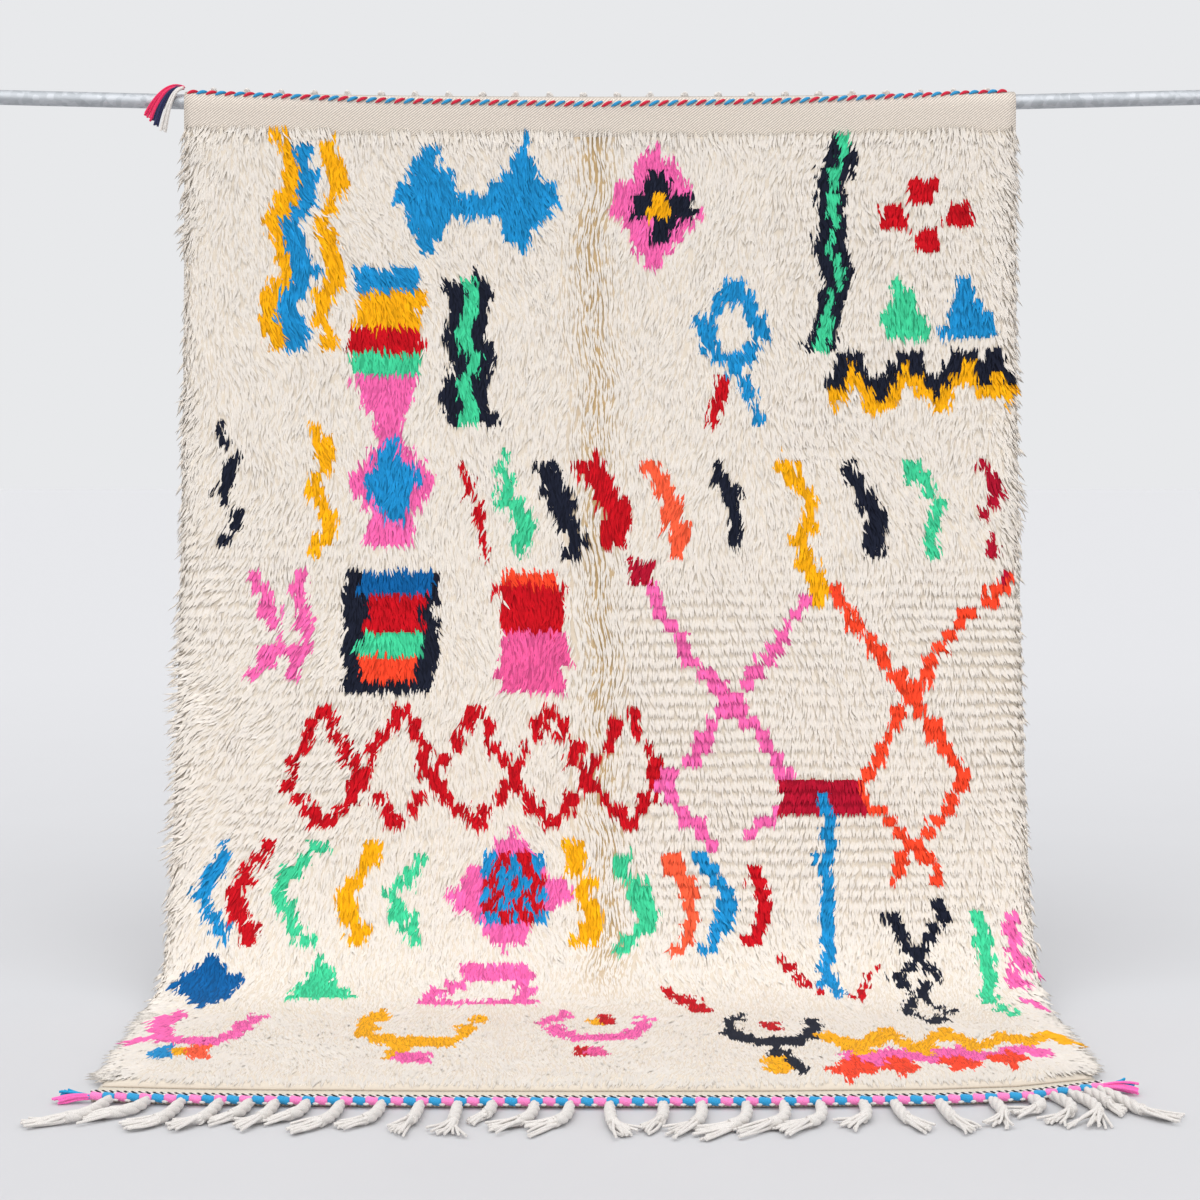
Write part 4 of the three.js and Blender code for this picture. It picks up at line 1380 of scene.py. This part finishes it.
FLECK_HALF = 4.5 * MM
FLECK_RADII = (0.4 * MM, 1.7 * MM)
TWINE_RADIUS = 1.3 * MM
TWINE_TURN = (1.1 * MM, 11 * MM)
TWINE_PLACE = (0.6 * MM, 16 * MM)


def braid_fleck(across, ahead, up):
    """A white warp end that shows between two turns of the braid."""
    share = np.linspace(-1, 1, 7)
    beside = across + FLECK_HALF * share
    path = np.column_stack([beside, ROD_Y - bottom_edge(beside) - ahead * MM, np.full(7, up * MM)])
    return path, FLECK_RADII[0] + FLECK_RADII[1] * (1 - share**2) ** 0.5, 2


def make_braid(context):
    """The pink and blue braid with white ends between its turns, and a fine dark line behind it."""
    step = context.scene.rug_cords.braid_pitch / 2
    count = int(2 * HALF_WIDTH / step)
    share = np.linspace(-1, 1, 11)
    strands = []
    for index in range(count):
        across = (index - (count - 1) / 2) * step + BRAID_OVERLAP * step * share
        height = BRAID_HEIGHT + BRAID_SLANT * share
        radius = BRAID_END + (BRAID_RADIUS - BRAID_END) * (1 - share**6) ** 0.5
        path = np.column_stack([across, ROD_Y - bottom_edge(across) - BRAID_AHEAD, height])
        strands.append((path, radius, index % 2))
        strands += [braid_fleck(across[-1], ahead, up) for ahead, up in BRAID_FLECKS]
    pink = yarn_material("pink braided wool", "#F784C0")
    blue = yarn_material("blue braided wool", "#3398CB")
    white = yarn_material("white cotton warp ends", WHITE_COTTON)
    mesh = tubes("bottom_braid_plies", strands, [pink, blue, white])
    place_piece("bottom_braid_plies", mesh, ["bottom_braid"])
    twisted = plies(edge_path(*TWINE_PLACE, 700), 2, *TWINE_TURN)
    fine = [(ply, TWINE_RADIUS, index) for index, ply in enumerate(twisted)]
    dark = yarn_material("charcoal twined yarn", "#2B2A2C")
    mesh = tubes("bottom_dark_twine", fine, [dark, white], detail=1)
    place_piece("bottom_dark_twine", mesh, [])


def bezier(points, count):
    """A cubic curve from four points."""
    a, b, c, d = (np.asarray(point, float) for point in points)
    t = np.linspace(0, 1, count)[:, None]
    return (1 - t) ** 3 * a + 3 * t * (1 - t) ** 2 * b + 3 * t * t * (1 - t) * c + t**3 * d


CORD_POINTS = 34
CORD_BODY = 25
CORD_TAPER = 8
BRUSH_FROM = 23
BRUSH_FAN = 0.25
BRUSH_RADII = (2.7 * MM, 2.1 * MM)
BRUSH_LIES = (2.6 * MM, 7 * MM)
BRUSH_LOWEST = 2.8 * MM
PLY_PITCH = 80 * MM
TASSEL_UNDER_BRAID = 7 * MM
TASSEL_AHEAD = 17 * MM
TASSEL_LIES = (9.6 * MM, 1.6 * MM)


def tassel_strands(path, settings, rng, floor):
    """A three-ply cord along a path and the loose strands of its brushed end."""
    width = settings.tassel_width
    cord = resample(path, CORD_POINTS)
    taper = np.concatenate([np.linspace(0.6, 1, CORD_TAPER), np.full(CORD_BODY - CORD_TAPER, 1.0)])
    twisted = plies(cord[:CORD_BODY], 3, 0.17 * width, PLY_PITCH, rng.uniform(0, 6))
    strands = [(ply, 0.35 * width * taper, 0) for ply in twisted]
    start = cord[BRUSH_FROM]
    way = cord[-1] - start
    length = np.linalg.norm(way)
    first, second = (vectors[-1] for vectors in sideways(cord))
    for _ in range(settings.brush_strands):
        turn = rng.uniform(0, 2 * np.pi)
        aside = np.cos(turn) * first + np.sin(turn) * second
        from_point = start + 0.32 * width * aside
        fan = rng.normal(0, BRUSH_FAN) * first
        to_point = from_point + way * rng.uniform(0.9, 1.25) + 1.5 * length * fan
        middle = (from_point + to_point) / 2 + rng.normal(0, 0.1, 3) * length
        steps = np.linspace(0, 1, 7)[:, None]
        strand = (1 - steps) ** 2 * from_point + 2 * steps * (1 - steps) * middle + steps**2 * to_point
        if floor:
            sink = np.linspace(0, 1, 7) ** 0.7
            strand[:, 2] = (1 - sink) * strand[:, 2] + sink * rng.uniform(*BRUSH_LIES)
            strand[:, 2] = np.maximum(strand[:, 2], BRUSH_LOWEST)
        strands.append((strand, np.linspace(*BRUSH_RADII, 7), 0))
    return strands


def make_bottom_fringe(context):
    """White cord tassels, from under the braid out over the floor."""
    settings = context.scene.rug_cords
    rng = np.random.default_rng(SEEDS["bottom fringe"])
    strands = []
    for root, tip, reach in np.array(FLOOR_TASSELS) * MM:
        edge = bottom_edge(root)
        slope = (bottom_edge(root + 8 * MM) - bottom_edge(root - 8 * MM)) / (16 * MM)
        out = np.array([-slope, 1]) / math.hypot(slope, 1)
        start = np.array([root, edge + TASSEL_AHEAD])
        bend = start + TASSEL_STRAIGHT * reach * out
        turn = np.array([root + TASSEL_TURN[0] * (tip - root), start[1] + TASSEL_TURN[1] * reach])
        end = np.array([root + TASSEL_SWING * (tip - root), start[1] + reach])
        flat = bezier((start, bend, turn, end), 30)
        height = TASSEL_LIES[0] - TASSEL_LIES[1] * np.linspace(1, 0, 30) ** 4
        path = np.column_stack([flat[:, 0], ROD_Y - flat[:, 1], height])
        under = np.array([[root, ROD_Y - edge - BRAID_AHEAD, TASSEL_UNDER_BRAID]])
        strands += tassel_strands(np.vstack([under, path]), settings, rng, floor=True)
    cotton = yarn_material("white cotton cord, brushed out", WHITE_COTTON, fibre=1.2 * MM)
    mesh = tubes("bottom_fringe_tassels", strands, [cotton])
    place_piece("bottom_fringe_tassels", mesh, ["bottom_fringe"])


def make_top_fringe(context):
    """The same tassels at the top, knotted on the edge and falling behind the rod."""
    settings = context.scene.rug_cords
    rng = np.random.default_rng(SEEDS["top fringe"])
    first = -TOP_TASSEL_PITCH * (TOP_TASSEL_COUNT - 1) / 2
    profile = smooth_path(TOP_TASSEL_PATH, 6) * MM
    strands = []
    for index in range(TOP_TASSEL_COUNT):
        across = first + index * TOP_TASSEL_PITCH
        sway = rng.normal(0, 6) * MM * np.linspace(0, 1, len(profile)) ** 2
        height = ROD_HEIGHT + rod_rise(across) + profile[:, 1]
        path = np.column_stack([across + sway, ROD_Y + profile[:, 0], height])
        strands += tassel_strands(path, settings, rng, floor=False)
    heading = np.linspace(-HALF_WIDTH, HALF_WIDTH, 60)
    level = ROD_HEIGHT + rod_rise(heading) + 16 * MM
    edge = np.column_stack([heading, np.full(60, ROD_Y + 5.5 * MM), level])
    strands += [(ply, 2.0 * MM, 0) for ply in plies(resample(edge, 500), 2, 1.5 * MM, 20 * MM)]
    cotton = yarn_material("white cotton cord, knotted", WHITE_COTTON, fibre=1.2 * MM)
    mesh = tubes("top_fringe_tassels", strands, [cotton])
    place_piece("top_fringe_tassels", mesh, ["top_fringe"])


def yarn_bundle(root, bend, tip, rng, index, count, spread):
    """A few thin yarns that go the same way."""
    made = []
    for _ in range(count):
        offset = rng.normal(0, spread, 3)
        end = np.asarray(tip) + offset + rng.normal(0, spread, 3)
        steps = np.linspace(0, 1, 12)[:, None]
        start = np.asarray(root) + 0.5 * offset
        middle = np.asarray(bend) + offset
        path = (1 - steps) ** 2 * start + 2 * steps * (1 - steps) * middle + steps**2 * end
        path[:, 2] = np.maximum(path[:, 2], 2.2 * MM)
        made.append((path, 2.0 * MM, index))
    return made


TOP_LEFT_YARNS = (
    # dye, bend and tip: across, forward and over the rod's axis, in millimetres
    (0, (-786, 24, 36), (-816, 20, -26)),
    (0, (-783, 27, 32), (-808, 23, -34)),
    (1, (-779, 30, 28), (-799, 26, -42)),
    (2, (-772, 33, 24), (-788, 28, -54)),
)
BOTTOM_YARNS = (
    # dye, bend beside the corner, ahead of it, out to the tip and the tip's height, in millimetres
    (0, 14, -16, 28, 15),
    (0, 18, -7, 36, 11),
    (1, 20, 3, 43, 5),
    (1, 18, 13, 40, 5),
)


def make_corner_tassels():
    """Loose yarn ends at the top left and both bottom corners."""
    rng = np.random.default_rng(SEEDS["corner yarns"])
    axis = ROD_HEIGHT + float(rod_rise(-0.759))
    strands = []
    for index, bend, tip in TOP_LEFT_YARNS:
        root = (-0.752, ROD_Y - 8 * MM, axis + 24 * MM)
        points = [(x * MM, ROD_Y - ahead * MM, axis + up * MM) for x, ahead, up in (bend, tip)]
        strands += yarn_bundle(root, *points, rng, index, count=7, spread=2.4 * MM)
    crimson = yarn_material("crimson loose yarn", "#DE2F5E")
    navy = yarn_material("navy loose yarn", "#2B2F55")
    white = yarn_material("white loose yarn", WHITE_COTTON)
    name = "corner_yarns_top_left"
    mesh = tubes(name, strands, [crimson, navy, white])
    place_piece(name, mesh, ["corner_tassel_top_left"])
    blue = yarn_material("blue loose yarn", "#1E9AC8")
    pink = yarn_material("pink loose yarn", "#F56DB6")
    for side, word in ((-1, "left"), (1, "right")):
        edge = float(bottom_edge(side * HALF_WIDTH))
        strands = []
        for index, beside, ahead, out, up in BOTTOM_YARNS:
            y = ROD_Y - edge - BRAID_AHEAD
            root = (side * 0.748, y, 9 * MM)
            bend = (side * (0.757 + beside * MM), y - ahead / 2 * MM, 13 * MM)
            tip = (side * (0.757 + out * MM), y - ahead * MM, up * MM)
            strands += yarn_bundle(root, bend, tip, rng, index, count=5, spread=2 * MM)
        name = f"corner_yarns_bottom_{word}"
        mesh = tubes(name, strands, [blue, pink])
        place_piece(name, mesh, [f"corner_tassel_bottom_{word}"])


def make_rod():
    """The pipe, sagging a little, with square ends."""
    across = np.linspace(-ROD_HALF_LENGTH, ROD_HALF_LENGTH, 47)
    path = np.column_stack([across, np.full(47, ROD_Y), ROD_HEIGHT + rod_rise(across)])
    mesh = tubes("rod_pipe", [(path, ROD_RADIUS, 0)], [galvanised_material()], detail=22)
    place_piece("rod_pipe", mesh, ["rod"])


# The stage


def make_floor():
    mesh = bpy.data.meshes.new("studio_floor")
    build = bmesh.new()
    bmesh.ops.create_grid(build, x_segments=2, y_segments=2, size=30)
    bmesh.ops.translate(build, verts=build.verts, vec=(0, 0, -1 * MM))
    build.to_mesh(mesh)
    build.free()
    mesh.materials.append(floor_material())
    floor = bpy.data.objects.new("studio_floor", mesh)
    bpy.context.scene.collection.objects.link(floor)


SUN_SOFTNESS = 90
SUNS = (
    # name, strength, heading round from the front and height over level, in degrees
    ("soft_front_left", 1.1, -18, 38),
    ("soft_front_right", 0.55, 22, 32),
    ("soft_top", 0.75, 0, 72),
)


def make_sun(name, strength, heading, height):
    """Even, soft light from far off."""
    light = bpy.data.lights.new(name, "SUN")
    light.energy = strength
    light.angle = math.radians(SUN_SOFTNESS)
    holder = bpy.data.objects.new(name, light)
    bpy.context.scene.collection.objects.link(holder)
    holder.rotation_euler = (math.radians(90 - height), 0, math.radians(heading))


def make_world():
    world = bpy.data.worlds.new("pale studio")
    world.use_nodes = True
    background = world.node_tree.nodes["Background"]
    background.inputs["Color"].default_value = rgba(linear("#E8E9EB"))
    background.inputs["Strength"].default_value = 1.0
    bpy.context.scene.world = world


def make_camera(settings):
    lens = bpy.data.cameras.new("photo_camera")
    lens.sensor_width = 36
    lens.lens = settings.lens
    lens.clip_end = 200
    camera = bpy.data.objects.new("photo_camera", lens)
    bpy.context.scene.collection.objects.link(camera)
    camera.location = (0, ROD_Y - settings.camera_distance, settings.camera_height)
    camera.rotation_euler = (math.pi / 2 - settings.camera_pitch, 0, 0)
    bpy.context.scene.camera = camera


# Operators


class RUG_OT_weave(bpy.types.Operator):
    bl_idname = "rug.weave"
    bl_label = "Weave the rug"

    def execute(self, context):
        ground = make_ground()
        pile = [make_fleece(), *make_pile(context)]
        return {"FINISHED"}


class RUG_OT_cords(bpy.types.Operator):
    """Work the twisted cord at the top and the braid at the bottom"""

    bl_idname = "rug.cords"
    bl_label = "Work the cords"

    def execute(self, context):
        make_twist(context)
        make_braid(context)
        return {"FINISHED"}


class RUG_OT_tassels(bpy.types.Operator):
    """Make both fringes and the loose yarns at the corners"""

    bl_idname = "rug.tassels"
    bl_label = "Make the tassels"

    def execute(self, context):
        make_bottom_fringe(context)
        make_top_fringe(context)
        make_corner_tassels()
        return {"FINISHED"}


class RUG_OT_rod(bpy.types.Operator):
    """Make the galvanised pipe that the rug hangs over"""

    bl_idname = "rug.rod"
    bl_label = "Make the rod"

    def execute(self, context):
        make_rod()
        return {"FINISHED"}


class RUG_OT_stage(bpy.types.Operator):
    """Set the floor, the soft light and the camera"""

    bl_idname = "rug.stage"
    bl_label = "Set the stage"

    def execute(self, context):
        make_floor()
        make_world()
        for sun in SUNS:
            make_sun(*sun)
        make_camera(context.scene.rug_stage)
        context.scene.view_settings.view_transform = "Standard"
        return {"FINISHED"}


class RUG_PT_panel(bpy.types.Panel):
    """The rug's steps and settings"""

    bl_idname = "RUG_PT_panel"
    bl_label = "Pile rug"
    bl_space_type = "VIEW_3D"
    bl_region_type = "UI"
    bl_category = "Rug"

    def draw(self, context):
        for group in (context.scene.rug_pile, context.scene.rug_cords, context.scene.rug_stage):
            for name in group.bl_rna.properties.keys():
                if name not in ("rna_type", "name"):
                    self.layout.prop(group, name)
        for step in ("rug.rod", "rug.weave", "rug.cords", "rug.tassels", "rug.stage"):
            self.layout.operator(step)


CLASSES = (
    RugPileSettings,
    RugCordSettings,
    RugStageSettings,
    RUG_OT_weave,
    RUG_OT_cords,
    RUG_OT_tassels,
    RUG_OT_rod,
    RUG_OT_stage,
    RUG_PT_panel,
)


def register():
    for each in CLASSES:
        bpy.utils.register_class(each)
    bpy.types.Scene.rug_pile = bpy.props.PointerProperty(type=RugPileSettings)
    bpy.types.Scene.rug_cords = bpy.props.PointerProperty(type=RugCordSettings)
    bpy.types.Scene.rug_stage = bpy.props.PointerProperty(type=RugStageSettings)


def unregister():
    del bpy.types.Scene.rug_pile
    del bpy.types.Scene.rug_cords
    del bpy.types.Scene.rug_stage
    for each in reversed(CLASSES):
        bpy.utils.unregister_class(each)


def main():
    register()
    bpy.ops.rug.rod()
    bpy.ops.rug.weave()
    bpy.ops.rug.cords()
    bpy.ops.rug.tassels()
    bpy.ops.rug.stage()


if __name__ == "__main__":
    main()
